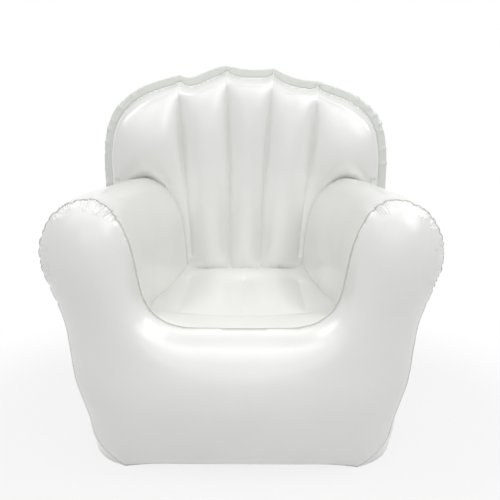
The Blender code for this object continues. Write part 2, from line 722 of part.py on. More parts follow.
def seat_panel(seams):
    border, flanges = joined(
        (seams.seat_front, WELD_FLANGE), (seams.seat_side, 0.0),
        (seams.seat_rear[::-1], 0.0), (mirrored(seams.seat_side)[::-1], 0.0))
    lines = seat_lines(seams)
    flat, triangles, loop = fill_outline(border[:, :2], list(lines.values()), PANEL_CELL)
    level = membrane(flat, triangles, loop, border[:, 2], 0.0)
    on_lines = np.flatnonzero(distance_to(flat, np.concatenate(list(lines.values()))) < GAP)
    held = np.concatenate([loop, on_lines])
    free = membrane(flat, triangles, loop, np.zeros(len(loop)), 1.0)
    free = free / free.max()
    levels = np.concatenate([np.zeros(len(loop)), free[on_lines] * SEAT_CROWN - SEAT_WELD_SINK])
    load = 8 * SEAT_CROWN / (SEAT_WELD_SPAN_SHARE * HALF_WIDTH) ** 2
    points = np.stack([flat[:, 0], flat[:, 1], level + membrane(flat, triangles, held, levels, load)], axis=1)
    points[loop] = border
    panel = Panel("seat_panel", points, triangles, loop, flanges)
    panel.face_outwards(np.array([0.0, 0.0, 1.0]))
    return panel, {name: heights_on(points, line) for name, line in lines.items()}


def heights_on(points, line):
    """The panel's own points along a weld line."""
    picks = [int(np.argmin(np.linalg.norm(points[:, :2] - place, axis=1))) for place in line]
    return points[picks]


def base_panel(seams):
    border, flanges = joined(
        (seams.floor_front, WELD_FLANGE), (seams.floor_side, WELD_FLANGE),
        (seams.floor_rear[::-1], 0.0), (mirrored(seams.floor_side)[::-1], WELD_FLANGE))
    flat, triangles, loop = fill_outline(border[:, :2], [], FLAT_CELL)
    points = np.stack([flat[:, 0], flat[:, 1], np.zeros(len(flat))], axis=1)
    points[loop] = border
    panel = Panel("base_panel", points, triangles, loop, flanges)
    panel.face_outwards(np.array([0.0, 0.0, -1.0]))
    return panel


def base_rear_panel(seams):
    border, flanges = joined(
        (seams.floor_rear, 0.0), (seams.arm_rear, 0.0),
        (seams.seat_rear[::-1], 0.0), (mirrored(seams.arm_rear)[::-1], 0.0))
    flat, triangles, loop = fill_outline(border[:, [0, 2]], [], FLAT_CELL)
    points = np.stack([flat[:, 0], rest_plane(flat[:, 1]), flat[:, 1]], axis=1)
    points[loop] = border
    panel = Panel("base_rear_panel", points, triangles, loop, flanges)
    panel.face_outwards(np.array([0.0, 1.0, 0.0]))
    return panel


# Panels of the back chamber

def contact_outline(seams):
    """Closed outline, as x and z, of the area where the back lies on the base chamber."""
    limit = CONTACT_HALF_WIDTH_SHARE * BACK_HALF_WIDTH
    foot = CONTACT_FOOT_SHARE * BACK_HEIGHT
    ring = seams.arm_rear[:, [0, 2]]
    ring = ring[(ring[:, 0] < limit) & (ring[:, 1] > foot)]
    top = ring[:, 1].argmax()
    first = next(step for step in range(top + 1) if ring[step, 1] > height(CONTACT_SHOULDER_SHARE))
    ring = ring[first:]
    shoulder = np.array([limit, ring[0, 1] - CONTACT_SHOULDER_GAP])
    corner = np.array([limit, foot])
    side = even_points(np.array([corner, shoulder]), steps_for(np.array([corner, shoulder]), PANEL_CELL))
    middle = seams.seat_rear[:, [0, 2]]
    right = np.concatenate([side, ring])
    left = (right * (-1.0, 1.0))[::-1]
    base = even_points(np.array([left[-1], right[0]]), steps_for(np.array([left[-1], right[0]]), PANEL_CELL))
    return np.concatenate([right, middle[-2:0:-1], left[:-1], base[:-1]])


def groove_levels(line, outline, depth):
    """Height of a weld line above the perimeter plane, from its top near the edge to its full depth."""
    return GROOVE_TOP_DEPTH + (depth - GROOVE_TOP_DEPTH) * rounded(distance_to_line(line, outline) / GROOVE_RUN_IN)


def crest_lines(grooves, outline):
    """Lines that run along the lobes between neighbouring weld lines, as rows for the net."""
    count = max(len(line) for line in grooves)
    even = [even_points(line, count - 1)[:-1] for line in grooves]
    lines = []
    for first, second in zip(even[:-1], even[1:]):
        for share in CREST_SHARES:
            line = first + share * (second - first)
            clear = distance_to_line(line, outline) > 2 * BACK_EDGE_INSET
            lines.append(line[clear & inside_outline(line, outline)])
    return lines


def inset_ring(outline, inset):
    """Closed line inside an outline, at one distance from it."""
    ahead = np.roll(outline, -1, axis=0) - np.roll(outline, 1, axis=0)
    normal = np.stack([-ahead[:, 1], ahead[:, 0]], axis=1)
    ring = outline + inset * normal / np.linalg.norm(normal, axis=1)[:, None]
    return np.concatenate([ring, ring[:1]])


def back_panel_mesh(outline, lines, crests, depth, crown, rings, pads):
    """Flat net of a back panel and its swell above the perimeter plane."""
    edge = inset_ring(outline, BACK_EDGE_INSET)
    flat, triangles, loop = fill_outline(outline, lines + crests + rings + [edge], PANEL_CELL, pads)
    held = list(loop)
    levels = [BACK_EDGE_DEPTH] * len(loop)
    for line in lines:
        for place, level in zip(line, groove_levels(line, outline, depth)):
            held.append(int(np.argmin(np.linalg.norm(flat - place, axis=1))))
            levels.append(float(level))
    if rings:
        inside = inside_outline(flat, rings[0]) | (distance_to(flat, rings[0]) < GAP)
        rest = np.flatnonzero(inside)
        held += [int(index) for index in rest]
        levels += [BACK_FRONT_DEPTH - GAP] * len(rest)
    held = np.array(held)
    swell = membrane(flat, triangles, held, np.array(levels), 0.0)
    bulge = membrane(flat, triangles, held, np.zeros(len(held)), 2.0 / (LOBE_HALF_SPAN_SHARE * BACK_HALF_WIDTH) ** 2)
    swell += crown * np.clip(bulge, 0.0, None) ** LOBE_FULLNESS
    reach = distance_to_line(flat, outline)
    swell = swell * np.sqrt(rounded(reach / BACK_EDGE_ROLL))
    swell[loop] = 0.0
    return flat, triangles, loop, swell


def distance_to_line(points, outline):
    """Distance from each point to the sides of a closed outline."""
    start, along = outline[None, :, :], (np.roll(outline, -1, axis=0) - outline)[None, :, :]
    offset = points[:, None, :] - start
    share = np.clip((offset * along).sum(axis=2) / (along**2).sum(axis=2), 0.0, 1.0)
    return np.linalg.norm(offset - share[:, :, None] * along, axis=2).min(axis=1)


def back_front_panel(seams):
    contact = contact_outline(seams)
    ring = np.concatenate([contact, contact[:1]])
    flat, triangles, loop, swell = back_panel_mesh(
        seams.back, seams.grooves, crest_lines(seams.grooves, seams.back), BACK_FRONT_DEPTH - GAP, BACK_LOBE_CROWN,
        [ring], [])
    beside = np.abs(flat[:, 0]) > contact[:, 0].max() - PANEL_CELL / 2
    beside &= flat[:, 1] < seams.arm_rear[:, 2].max() + PANEL_CELL
    swell[beside] = np.minimum(swell[beside], BACK_FRONT_DEPTH - GAP)
    points = np.stack([flat[:, 0], back_plane(flat[:, 1]) - swell, flat[:, 1]], axis=1)
    panel = Panel("back_front_panel", points, triangles, loop, [WELD_FLANGE] * len(loop))
    panel.face_outwards(np.array([0.0, -1.0, 0.0]))
    return panel


def weld_to_foot(line):
    """A weld line of the back carried straight down to its foot."""
    foot = np.array([line[-1], (line[-1, 0], BACK_WELD_FOOT)])
    return np.concatenate([line, even_points(foot, steps_for(foot, PANEL_CELL))[1:]])


def back_rear_panel(seams):
    centre = np.array([BACK_VALVE_X, BACK_VALVE_Z])
    lines = [weld_to_foot(line) for line in seams.grooves]
    flat, triangles, loop, swell = back_panel_mesh(
        seams.back, lines, crest_lines(seams.grooves, seams.back), BACK_REAR_WELD_DEPTH, BACK_REAR_CROWN, [],
        [(centre, VALVE_PAD)])
    points = np.stack([flat[:, 0], back_plane(flat[:, 1]) + swell, flat[:, 1]], axis=1)
    pad = np.flatnonzero(np.linalg.norm(flat - centre, axis=1) < VALVE_PAD + GAP)
    middle = points[pad].mean(axis=0)
    normal = np.linalg.svd(points[pad] - middle)[2][-1]
    normal = normal if normal[1] > 0 else -normal
    points[pad, 1] -= ((points[pad] - middle) @ normal) / normal[1]
    panel = Panel("back_rear_panel", points, triangles, loop, [WELD_FLANGE] * len(loop))
    panel.face_outwards(np.array([0.0, 1.0, 0.0]))
    return panel, middle, normal


def strip_object(name, first, second, side, material):
    """A thin strip between two lines of points, with its wall to both sides of them."""
    count = len(first)
    half = side * BAFFLE_SHEET / 2
    points = np.concatenate([first - half, second - half, second + half, first + half])
    faces = []
    for wall in range(4):
        following = (wall + 1) % 4
        for step in range(count - 1):
            a, b = wall * count + step, wall * count + step + 1
            c, d = following * count + step + 1, following * count + step
            faces += [(a, b, c), (a, c, d)]
    for end in (0, count - 1):
        corners = [wall * count + end for wall in range(4)]
        faces += [tuple(corners[:3]), (corners[0], corners[2], corners[3])]
    return closed_object(name, points, faces, material)


def seat_baffles(lines, material):
    """Upright webs between the seat and the base, along the seat's weld lines."""
    for name, line in lines.items():
        if name == "cross":
            label, side = "seat_cross_baffle", np.array([0.0, 1.0, 0.0])
        else:
            label, side = "seat_baffle_" + name, np.array([1.0, 0.0, 0.0])
        top = line - np.array([0.0, 0.0, SHEET + 2 * GAP])
        foot = line.copy()
        foot[:, 2] = SHEET + GAP
        strip_object(label, top, foot, side, material)


def back_baffles(seams, front, rear, material):
    """Webs between the front and rear sheets of the back, along its weld lines."""
    inset = np.array([0.0, 2 * SHEET + GAP, 0.0])
    for number, line in enumerate(seams.grooves, start=1):
        front_edge, rear_edge = [], []
        for x, z in weld_to_foot(line)[1:]:
            if z < line[-1, 1]:
                front_edge.append(np.array([x, rest_plane(z) + GAP, z]))
            else:
                front_edge.append(panel_point(front, x, z))
            rear_edge.append(panel_point(rear, x, z))
        strip_object("back_baffle_%d" % number, np.array(front_edge) + inset, np.array(rear_edge) - inset,
                     np.array([1.0, 0.0, 0.0]), material)


def panel_point(panel, x, z):
    """The panel's own point at a place on a weld line."""
    return panel.points[np.argmin(np.linalg.norm(panel.points[:, [0, 2]] - (x, z), axis=1))]


# Valves, in their own axes: +Z points out of the panel and z is 0 on its outer face

def turned(profile, origin=(0.0, 0.0, 0.0)):
    """Closed ring turned about Z from a closed profile of radius and height."""
    shape = bmesh.new()
    corners = [shape.verts.new((radius, 0.0, z)) for radius, z in profile]
    edges = [shape.edges.new((corners[i - 1], corners[i])) for i in range(len(corners))]
    bmesh.ops.spin(shape, geom=corners + edges, cent=(0, 0, 0), axis=(0, 0, 1),
                   angle=2 * math.pi, steps=TURN_STEPS)
    bmesh.ops.remove_doubles(shape, verts=shape.verts, dist=GAP * 1e-2)
    bmesh.ops.translate(shape, verts=shape.verts, vec=-Vector(origin))
    bmesh.ops.recalc_face_normals(shape, faces=shape.faces)
    return shape


def plate(outline, low, high, origin=(0.0, 0.0, 0.0)):
    """Flat plate from an outline of x and y, between two heights."""
    shape = bmesh.new()
    corners = [shape.verts.new((x, y, low)) for x, y in outline]
    face = shape.faces.new(corners)
    grown = bmesh.ops.extrude_face_region(shape, geom=[face])
    lifted = [item for item in grown["geom"] if isinstance(item, bmesh.types.BMVert)]
    bmesh.ops.translate(shape, verts=lifted, vec=(0, 0, high - low))
    bmesh.ops.translate(shape, verts=shape.verts, vec=-Vector(origin))
    bmesh.ops.recalc_face_normals(shape, faces=shape.faces)
    return shape


def shape_object(name, shape, material, place, origin=(0.0, 0.0, 0.0)):
    mesh = bpy.data.meshes.new(name)
    shape.to_mesh(mesh)
    shape.free()
    item = add_object(name, mesh, material)
    item.matrix_world = place @ Matrix.Translation(origin)
    return item


def cutter_object(name, shape, place, material, origin=(0.0, 0.0, 0.0)):
    item = shape_object(name, shape, material, place, origin)
    item.hide_render = True
    item.display_type = "WIRE"
    return item


def combine(target, other, operation):
    change = target.modifiers.new(operation.lower(), "BOOLEAN")
    change.operation = operation
    change.solver = "EXACT"
    change.object = other


def valve_frame(centre, outward):
    """Axes of a valve: Z out of the panel, X level, with the strap towards -X."""
    out = Vector(outward).normalized()
    level = Vector((0, 0, 1)).cross(out).normalized()
    up = out.cross(level)
    frame = Matrix((level, up, out)).transposed().to_4x4()
    frame.translation = Vector(centre)
    return frame


def make_valve(prefix, panel, centre, outward, material):
    place = valve_frame(centre, outward)
    hole = turned([(0.0, -HOLE_CUT_REACH), (PANEL_HOLE, -HOLE_CUT_REACH),
                   (PANEL_HOLE, HOLE_CUT_REACH), (0.0, HOLE_CUT_REACH)])
    combine(panel, cutter_object(prefix + "_hole_cutter", hole, place, material), "DIFFERENCE")

    flange_top = GAP + FLANGE_THICKNESS
    flange = turned([(FLANGE_BORE, GAP), (FLANGE_RADIUS, GAP), (FLANGE_RADIUS, flange_top),
                     (FLANGE_BORE, flange_top)])
    shape_object(prefix + "_flange", flange, material, place)

    boot_mouth = FLANGE_BORE - GAP
    boot_foot = NECK_FOOT_RADIUS + GAP
    foot_top = -NECK_DEPTH + NECK_FOOT
    boot = turned([(boot_mouth, flange_top), (boot_mouth - BOOT_SHEET, flange_top),
                   (boot_mouth - 2 * BOOT_SHEET, foot_top), (boot_foot, -NECK_DEPTH),
                   (boot_foot, -NECK_DEPTH - BOOT_SHEET), (boot_mouth - BOOT_SHEET, -NECK_DEPTH - BOOT_SHEET)])
    shape_object(prefix + "_boot", boot, material, place)

    rim_top = NECK_RIM_BASE + NECK_RIM
    tube = NECK_BORE + NECK_WALL
    neck = shape_object(prefix + "_neck", turned([
        (NECK_BORE, -NECK_DEPTH), (NECK_FOOT_RADIUS, -NECK_DEPTH), (NECK_FOOT_RADIUS, foot_top),
        (tube, foot_top), (tube, NECK_RIM_BASE), (NECK_RIM_RADIUS, NECK_RIM_BASE),
        (NECK_RIM_RADIUS, rim_top), (NECK_BORE, rim_top)]), material, place)
    lug = plate([(-LUG_REACH, -LUG_WIDTH / 2), (-tube, -LUG_WIDTH / 2), (-tube, LUG_WIDTH / 2),
                 (-LUG_REACH, LUG_WIDTH / 2)], NECK_RIM_BASE, rim_top)
    combine(neck, cutter_object(prefix + "_lug", lug, place, material), "UNION")

    flap_hinge = (-FLAP_RADIUS, 0.0, -NECK_DEPTH - GAP - FLAP_SHEET / 2)
    ring = [(FLAP_RADIUS * math.cos(turn), FLAP_RADIUS * math.sin(turn))
            for turn in np.linspace(0.0, 2 * math.pi, TURN_STEPS + 1)[:-1]]
    flap = plate(ring, -NECK_DEPTH - GAP - FLAP_SHEET, -NECK_DEPTH - GAP, flap_hinge)
    shape_object(prefix + "_flap", flap, material, place, flap_hinge)

    cap_base = rim_top + GAP
    hinge = (-HINGE_REACH, 0.0, cap_base + STRAP_THICKNESS / 2)
    cap = turned([(0.0, cap_base), (CAP_RADIUS, cap_base), (CAP_RADIUS, cap_base + CAP_THICKNESS),
                  (0.0, cap_base + CAP_THICKNESS)], hinge)
    plug = shape_object(prefix + "_plug", cap, material, place, hinge)
    strap = plate([(-HINGE_REACH - STRAP_OVERHANG, -STRAP_WIDTH / 2), (0.0, -STRAP_WIDTH / 2),
                   (0.0, STRAP_WIDTH / 2), (-HINGE_REACH - STRAP_OVERHANG, STRAP_WIDTH / 2)],
                  cap_base, cap_base + STRAP_THICKNESS, hinge)
    tab = plate([(0.0, -TAB_WIDTH / 2), (TAB_REACH, -TAB_WIDTH / 2), (TAB_REACH, TAB_WIDTH / 2),
                 (0.0, TAB_WIDTH / 2)], cap_base, cap_base + STRAP_THICKNESS, hinge)
    peg = turned([(0.0, cap_base - PLUG_LENGTH), (PLUG_TIP_RADIUS, cap_base - PLUG_LENGTH),
                  (PLUG_ROOT_RADIUS, cap_base), (PLUG_ROOT_RADIUS, cap_base + CAP_THICKNESS / 2),
                  (0.0, cap_base + CAP_THICKNESS / 2)], hinge)
    for label, shape in (("strap", strap), ("tab", tab), ("peg", peg)):
        combine(plug, cutter_object("%s_%s" % (prefix, label), shape, place, material, hinge), "UNION")


def main():
    clear_scene()
    sheet = vinyl("pearl_vinyl", FRONT_SHEET_COLOUR, SHEET_ROUGHNESS)
    web = vinyl("baffle_vinyl", BAFFLE_COLOUR, SHEET_ROUGHNESS)
    soft = vinyl("valve_vinyl", VALVE_COLOUR, VALVE_ROUGHNESS)
    seams = Seams()

    seat, seat_welds = seat_panel(seams)
    base = [front_panel(seams), arm_panel(seams, "left_arm_panel", -1), arm_panel(seams, "right_arm_panel", 1),
            seat, base_panel(seams), base_rear_panel(seams)]
    seaming = Seaming(base)
    solids = {panel.name: panel_object(panel, seaming, sheet) for panel in base}
    seat_baffles(seat_welds, web)

    front = back_front_panel(seams)
    rear, back_valve, back_out = back_rear_panel(seams)
    seaming = Seaming([front, rear])
    for panel in (front, rear):
        solids[panel.name] = panel_object(panel, seaming, sheet)
    back_baffles(seams, front, rear, web)

    across = np.linspace(0.0, 1.0, ARM_STEPS + 1)
    along = np.linspace(0.0, 1.0, DEPTH_STEPS + 1)
    grid = arm_surface(seams, across, along)
    side_valve, side_out = cell_plane(grid)
    make_valve("base_valve", solids["right_arm_panel"], side_valve, side_out, soft)
    make_valve("back_valve", solids["back_rear_panel"], back_valve, back_out, soft)


main()
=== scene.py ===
"""Inflatable armchair of pearl vinyl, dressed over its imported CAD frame."""
import json
import math

import bmesh
import bpy
import numpy as np
from mathutils import Matrix, Vector
from mathutils.geometry import delaunay_2d_cdt
from mathutils.kdtree import KDTree


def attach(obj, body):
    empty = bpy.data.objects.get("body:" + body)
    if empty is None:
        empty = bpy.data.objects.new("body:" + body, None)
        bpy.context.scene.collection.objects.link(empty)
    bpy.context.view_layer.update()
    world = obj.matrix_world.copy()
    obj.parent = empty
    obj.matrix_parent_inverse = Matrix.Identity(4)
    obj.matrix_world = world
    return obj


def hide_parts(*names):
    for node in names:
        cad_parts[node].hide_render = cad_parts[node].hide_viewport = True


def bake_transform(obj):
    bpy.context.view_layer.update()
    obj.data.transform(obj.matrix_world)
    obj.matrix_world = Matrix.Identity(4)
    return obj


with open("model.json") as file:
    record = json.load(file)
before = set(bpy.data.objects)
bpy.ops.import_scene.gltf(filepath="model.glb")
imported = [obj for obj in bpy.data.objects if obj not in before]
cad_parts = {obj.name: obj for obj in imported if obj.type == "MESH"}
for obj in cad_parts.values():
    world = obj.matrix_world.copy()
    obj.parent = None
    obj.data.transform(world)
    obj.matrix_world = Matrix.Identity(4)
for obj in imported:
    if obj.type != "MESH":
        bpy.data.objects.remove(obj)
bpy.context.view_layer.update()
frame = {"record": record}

bl_info = {
    "name": "Inflatable Armchair",
    "version": (1, 0, 0),
    "blender": (4, 5, 0),
    "location": "View3D > Sidebar > Armchair",
    "description": "Builds a pearl vinyl inflatable armchair over its packed frame",
    "category": "Object",
}

# Sizes that the CAD model also has, in metres
WIDTH = 0.925
ARM_HEIGHT = 0.634
SEAT_HEIGHT = 0.333
SEAM_DEPTH = 0.45
BACK_WIDTH = 0.816
BACK_HEIGHT = 0.915
BACK_FOOT = 0.010
LEAN = math.tan(math.radians(8.0))
BACK_TOP_DRIFT = 0.015
BACK_SHOULDER_TILT = 0.016
SCALLOPS = ((1.1, 0.010), (1.0, 0.014), (2.2, 0.014))
FRONT_CROWN = 0.098
ARM_CROWN = 0.006
ARM_ROLL = 0.08
FLOOR_BLEND_SHARE = 0.22
SEAT_BLEND_SHARE = 0.24
SEAT_CROWN = 0.016
SEAT_WELD_SINK = 0.003
BACK_FRONT_DEPTH = 0.070
BACK_REAR_WELD_DEPTH = 0.070
BACK_EDGE_DEPTH = 0.050
GROOVE_RUN_IN = 0.055
GROOVE_TOP_DEPTH = 0.026
GROOVE_TIP = 0.016
BACK_WELD_FOOT = 0.130
SHEET = 0.00045
GAP = 0.0003
BAFFLE_SHEET = 0.0006
HALF_WIDTH = WIDTH / 2
BACK_HALF_WIDTH = BACK_WIDTH / 2
FRONT_Y = -SEAM_DEPTH / 2
REST_Y = SEAM_DEPTH / 2
FLOOR_SEAM_Z = SHEET + GAP / 2

# Seam curves as shares, as in the CAD model
ARM_FRONT_SHARES = [
    (0.595, 0.000), (0.660, 0.045), (0.725, 0.110), (0.758, 0.188), (0.777, 0.300), (0.803, 0.413),
    (0.843, 0.590), (0.869, 0.860), (0.886, 1.020), (0.936, 1.244), (0.977, 1.394), (0.999, 1.535),
    (0.991, 1.690), (0.965, 1.785), (0.928, 1.875), (0.870, 1.947), (0.792, 1.993), (0.714, 1.995),
    (0.644, 1.930), (0.580, 1.777), (0.538, 1.588), (0.515, 1.405), (0.490, 1.239), (0.448, 1.123),
]
ARM_REAR_SHARES = [
    (0.832, 0.000), (0.854, 0.450), (0.866, 0.900), (0.872, 1.289), (0.861, 1.510), (0.828, 1.668),
    (0.770, 1.785), (0.692, 1.867), (0.603, 1.894), (0.519, 1.837), (0.443, 1.704), (0.398, 1.555),
    (0.370, 1.339), (0.360, 1.200), (0.357, 1.080),
]
FLOOR_SIDE_SHARES = [
    (0.595, -0.088), (0.668, -0.038), (0.737, 0.050), (0.785, 0.175), (0.818, 0.400), (0.830, 0.700),
    (0.832, 1.000),
]
FLOOR_FRONT_SHARES = [
    (-0.595, -0.088), (-0.500, -0.066), (-0.250, -0.060), (0.000, -0.060), (0.250, -0.060),
    (0.500, -0.066), (0.595, -0.088),
]
SEAT_SIDE_SHARES = [
    (0.448, 0.000, 1.123), (0.476, 0.100, 1.070), (0.492, 0.220, 1.030), (0.493, 0.444, 1.008),
    (0.432, 0.756, 1.006), (0.357, 1.000, 1.080),
]
SEAT_FRONT_SHARES = [(0.448, 1.123), (0.372, 1.035), (0.300, 1.003), (0.150, 0.993), (0.000, 0.991)]
SEAT_REAR_SHARES = [(0.357, 1.080), (0.300, 1.045), (0.200, 1.032), (0.000, 1.027)]
BACK_SIDE_SHARES = [
    (0.000, 0.000), (0.450, 0.000), (0.800, 0.000), (0.925, 0.014), (0.982, 0.062), (0.997, 0.165),
    (1.000, 0.380), (1.000, 0.600), (1.000, 0.750), (0.979, 0.805), (0.930, 0.852), (0.848, 0.890),
    (0.745, 0.920), (0.620, 0.941), (0.491, 0.957),
]
BACK_TOP_SHARES = [(0.491, 0.957), (0.322, 0.977), (0.160, 0.993), (0.000, 1.000)]
INNER_GROOVE_SHARES = [(0.108, 0.025), (0.112, 0.208), (0.118, 0.416), (0.136, 0.666), (0.166, 1.000)]
OUTER_GROOVE_SHARES = [(0.376, 0.094), (0.404, 0.353), (0.437, 0.552), (0.466, 0.773), (0.489, 1.000)]
CONTACT_HALF_WIDTH_SHARE = 0.870
CONTACT_FOOT_SHARE = 0.061
CONTACT_SHOULDER_SHARE = 1.7
SEAT_WELD_SHARES = {
    "left": ((-0.320, 0.900), (-0.335, 0.205)),
    "centre": ((0.000, 0.760), (0.000, 0.205)),
    "right": ((0.320, 0.820), (0.335, 0.205)),
}
SEAT_CROSS_SHARES = [(-0.345, 0.175), (0.000, 0.150), (0.345, 0.175)]

# Valve sizes: radii about the valve's axis, heights along it from its sheet's outer face
PANEL_HOLE = 0.0110
FLANGE_RADIUS = 0.018
FLANGE_THICKNESS = 0.0008
FLANGE_BORE = 0.0106
BOOT_SHEET = 0.0005
NECK_BORE = 0.00505
NECK_WALL = 0.0015
NECK_DEPTH = 0.012
NECK_FOOT_RADIUS = 0.0080
NECK_FOOT = 0.001
NECK_RIM_BASE = 0.0015
NECK_RIM = 0.0009
LUG_REACH = 0.0145
LUG_WIDTH = 0.006
FLAP_RADIUS = 0.0062
FLAP_SHEET = 0.0006
CAP_RADIUS = 0.0076
CAP_THICKNESS = 0.0015
PLUG_LENGTH = 0.0065
PLUG_TIP_RADIUS = 0.0034
PLUG_ROOT_RADIUS = 0.0047
HINGE_REACH = 0.0125
STRAP_WIDTH = 0.0042
STRAP_THICKNESS = 0.0009
STRAP_OVERHANG = 0.0003
TAB_REACH = 0.0125
TAB_WIDTH = 0.0060
FLAP_HINGE_DEPTH = NECK_DEPTH + GAP + FLAP_SHEET / 2
RIM_TOP = NECK_RIM_BASE + NECK_RIM
CAP_BASE = RIM_TOP + GAP

# Forms that only the scene has: lengths in metres, the others shares and powers
LOBE_FULLNESS = 0.9
LOBE_END_FULLNESS = 0.3
LOBE_END = 0.035
LOBE_HALF_WIDTH = 0.18 * BACK_HALF_WIDTH
EDGE_ROLL_POWER = 0.6
GROOVE_PEAK_REACH = 0.007
GROOVE_PEAK_FADE = 0.008
FRONT_FULLNESS = 0.78
ARM_FRONT_LIFT = 0.5
LIFT_BELOW_SEAT = 0.10
LIFT_RUN = 0.26
ARM_FOOT_SHARE = 0.18
ARM_INSIDE_SHARE = 0.22
ARM_CORE_SHARE = 0.72
SEAT_LOBE_WIDTH = 0.33 * HALF_WIDTH
PAD_RADIUS = 0.040
PAD_DEPTH = 0.02
PAD_FADE = 0.019
PAD_RIM = 0.001

# Directions that the outer faces of the sheets look in
FORWARD = (0.0, -1.0, 0.0)
REARWARD = (0.0, 1.0, 0.0)
UPWARD = (0.0, 0.0, 1.0)
DOWNWARD = (0.0, 0.0, -1.0)

# Nets and curves
CURVE_DENSITY = 40
DENSE_STEPS = 200
ROWS_BESIDE = (-1.8, -0.85, 0.85, 1.8)
CLOSEST_SHARE = 0.6
MEMBRANE_STEPS = 3000
MEMBRANE_TOLERANCE = 1e-12
FINE_TURN = 96

# Finish: gloss of the vinyl, shares of the colour, and the ticks of a weld bead in metres
VINYL_IOR = 1.5
COAT_ROUGHNESS = 0.26
BUMP_STRENGTH = 0.5
# Share of the pearl colour kept on the back sheets: painted shade that darkens the back against the rest of
# the same vinyl
BACK_PAINTED_SHADE_SHARE = 0.95
TICK_PITCH = 0.005
TICK_DEPTH = 0.25
SUNK_TICK_DEPTH = 0.1

# What one building step leaves for the next
WORK = {}


def length(name, description, default, low, high):
    """A size that the user can change."""
    return bpy.props.FloatProperty(
        name=name, description=description, default=default, min=low, max=high, unit="LENGTH")


def colour(name, description, red, green, blue):
    """A colour that the user can change."""
    return bpy.props.FloatVectorProperty(
        name=name, description=description, default=(red, green, blue, 1.0),
        subtype="COLOR", size=4, min=0.0, max=1.0)


class ChairSizes(bpy.types.PropertyGroup):
    """Sizes of the visible surface detail."""
    fine_cell: length("Net near seams", "Spacing of the surface net beside a seam; elsewhere it is double",
                      0.0034, 0.002, 0.02)
    fine_band: length("Fine band", "Width of the finer net beside each seam", 0.024, 0.0, 0.1)
    lobe_crown: length("Lobe crown", "Swell of a back lobe between its weld lines", 0.038, 0.0, 0.1)
    rear_crown: length("Rear crown", "Swell of the rear lobes between their weld lines", 0.030, 0.0, 0.1)
    edge_roll: length("Edge roll", "Radius of the roll between the back's sheets and its edge weld",
                      0.018, 0.005, 0.1)
    edge_band: length("Edge band", "Width of the flat double sheet around the back", 0.024, 0.0, 0.04)
    groove_peak: length("Groove peak", "How far the lobes run up into the edge band at a groove",
                        0.013, 0.0, 0.03)
    pucker_depth: length("Pucker depth", "Depth of the deepest puckers at a seam", 0.0056, 0.0, 0.01)
    pucker_length: length("Pucker length", "How far the longest puckers run from a seam", 0.040, 0.0, 0.1)
    pucker_width: length("Pucker width", "Half width of a pucker at its seam", 0.0046, 0.001, 0.02)
    weld_radius: length("Weld bead radius", "Radius of the weld bead along a seam", 0.0007, 0.0002, 0.004)


class ChairFinish(bpy.types.PropertyGroup):
    """Colours of the vinyl."""
    pearl: colour("Pearl", "Colour of the pearl vinyl", 0.92, 0.92, 0.905)
    shade: colour("Pearl shade", "Colour of the vinyl where its pearl layer is thinner", 0.90, 0.905, 0.885)
    seam: colour("Seam", "Colour of the vinyl in the weld of a seam", 0.90, 0.87, 0.81)
    # Edge band: painted shade, a darker grey on the back's flat edge weld where that band turns from the
    # light
    band: colour("Edge band", "Colour of the double sheet in the back's edge weld", 0.76, 0.78, 0.74)
    valve: colour("Valve", "Colour of the moulded valve parts", 0.78, 0.79, 0.78)
    web: colour("Baffle", "Colour of the inner webs", 0.68, 0.69, 0.68)


def sizes():
    return bpy.context.scene.chair_sizes


def finish_values():
    return bpy.context.scene.chair_finish


# Curves and nets

def arc_of(curve):
    """Length along a curve up to each of its points."""
    runs = np.linalg.norm(np.diff(curve, axis=0), axis=1)
    return np.concatenate([[0.0], np.cumsum(runs)])


def smooth_curve(points, steps):
    """Evenly spaced points on a smooth curve through the given ones."""
    points = np.asarray(points, dtype=float)
    knots = arc_of(points)
    slopes = np.gradient(points, knots, axis=0, edge_order=2)
    dense = np.linspace(0.0, knots[-1], CURVE_DENSITY * len(points))
    cell = np.clip(np.searchsorted(knots, dense, side="right") - 1, 0, len(points) - 2)
    span = knots[cell + 1] - knots[cell]
    t = ((dense - knots[cell]) / span)[:, None]
    span = span[:, None]
    curve = ((2 * t**3 - 3 * t**2 + 1) * points[cell] + (t**3 - 2 * t**2 + t) * span * slopes[cell]
             + (3 * t**2 - 2 * t**3) * points[cell + 1] + (t**3 - t**2) * span * slopes[cell + 1])
    return even_points(curve, steps)


def even_points(curve, steps):
    """Points at even distances along a curve."""
    return at_arc(curve, arc_of(curve), np.linspace(0.0, arc_of(curve)[-1], steps + 1))


def at_arc(curve, arc, places):
    return np.stack([np.interp(places, arc, curve[:, axis]) for axis in range(curve.shape[1])], axis=1)


def at_shares(curve, shares):
    """Points of an evenly spaced curve at shares of its length."""
    return at_arc(curve, np.arange(len(curve)), shares * (len(curve) - 1))


def steps_for(curve, cell):
    return max(2, round(float(arc_of(curve)[-1]) / cell))


def stepped(ends, cell):
    """Points a cell apart on the straight line between two ends."""
    ends = np.array(ends)
    return even_points(ends, steps_for(ends, cell))


def smoothed(points, cell):
    """Points a cell apart on a smooth curve."""
    points = np.array(points)
    return smooth_curve(points, steps_for(points, cell))


def height(share):
    """Height of a share: 0 to 1 is floor to seat, 1 to 2 is seat to arm top."""
    return SEAT_HEIGHT * min(share, 1.0) + (ARM_HEIGHT - SEAT_HEIGHT) * max(share - 1.0, 0.0)


def plan(x, y):
    """Place on the floor plan from shares of the half width and the depth between the seams."""
    return x * HALF_WIDTH, FRONT_Y + y * SEAM_DEPTH


def rest_plane(z):
    """Depth of the leaning plane that the back rests on."""
    return REST_Y + z * LEAN


def back_plane(z):
    """Depth of the leaning plane of the back's edge weld."""
    return rest_plane(z) + BACK_FRONT_DEPTH


def mirrored(curve):
    """The same curve on the chair's other side."""
    other = np.array(curve)
    other[..., 0] *= -1.0
    return other


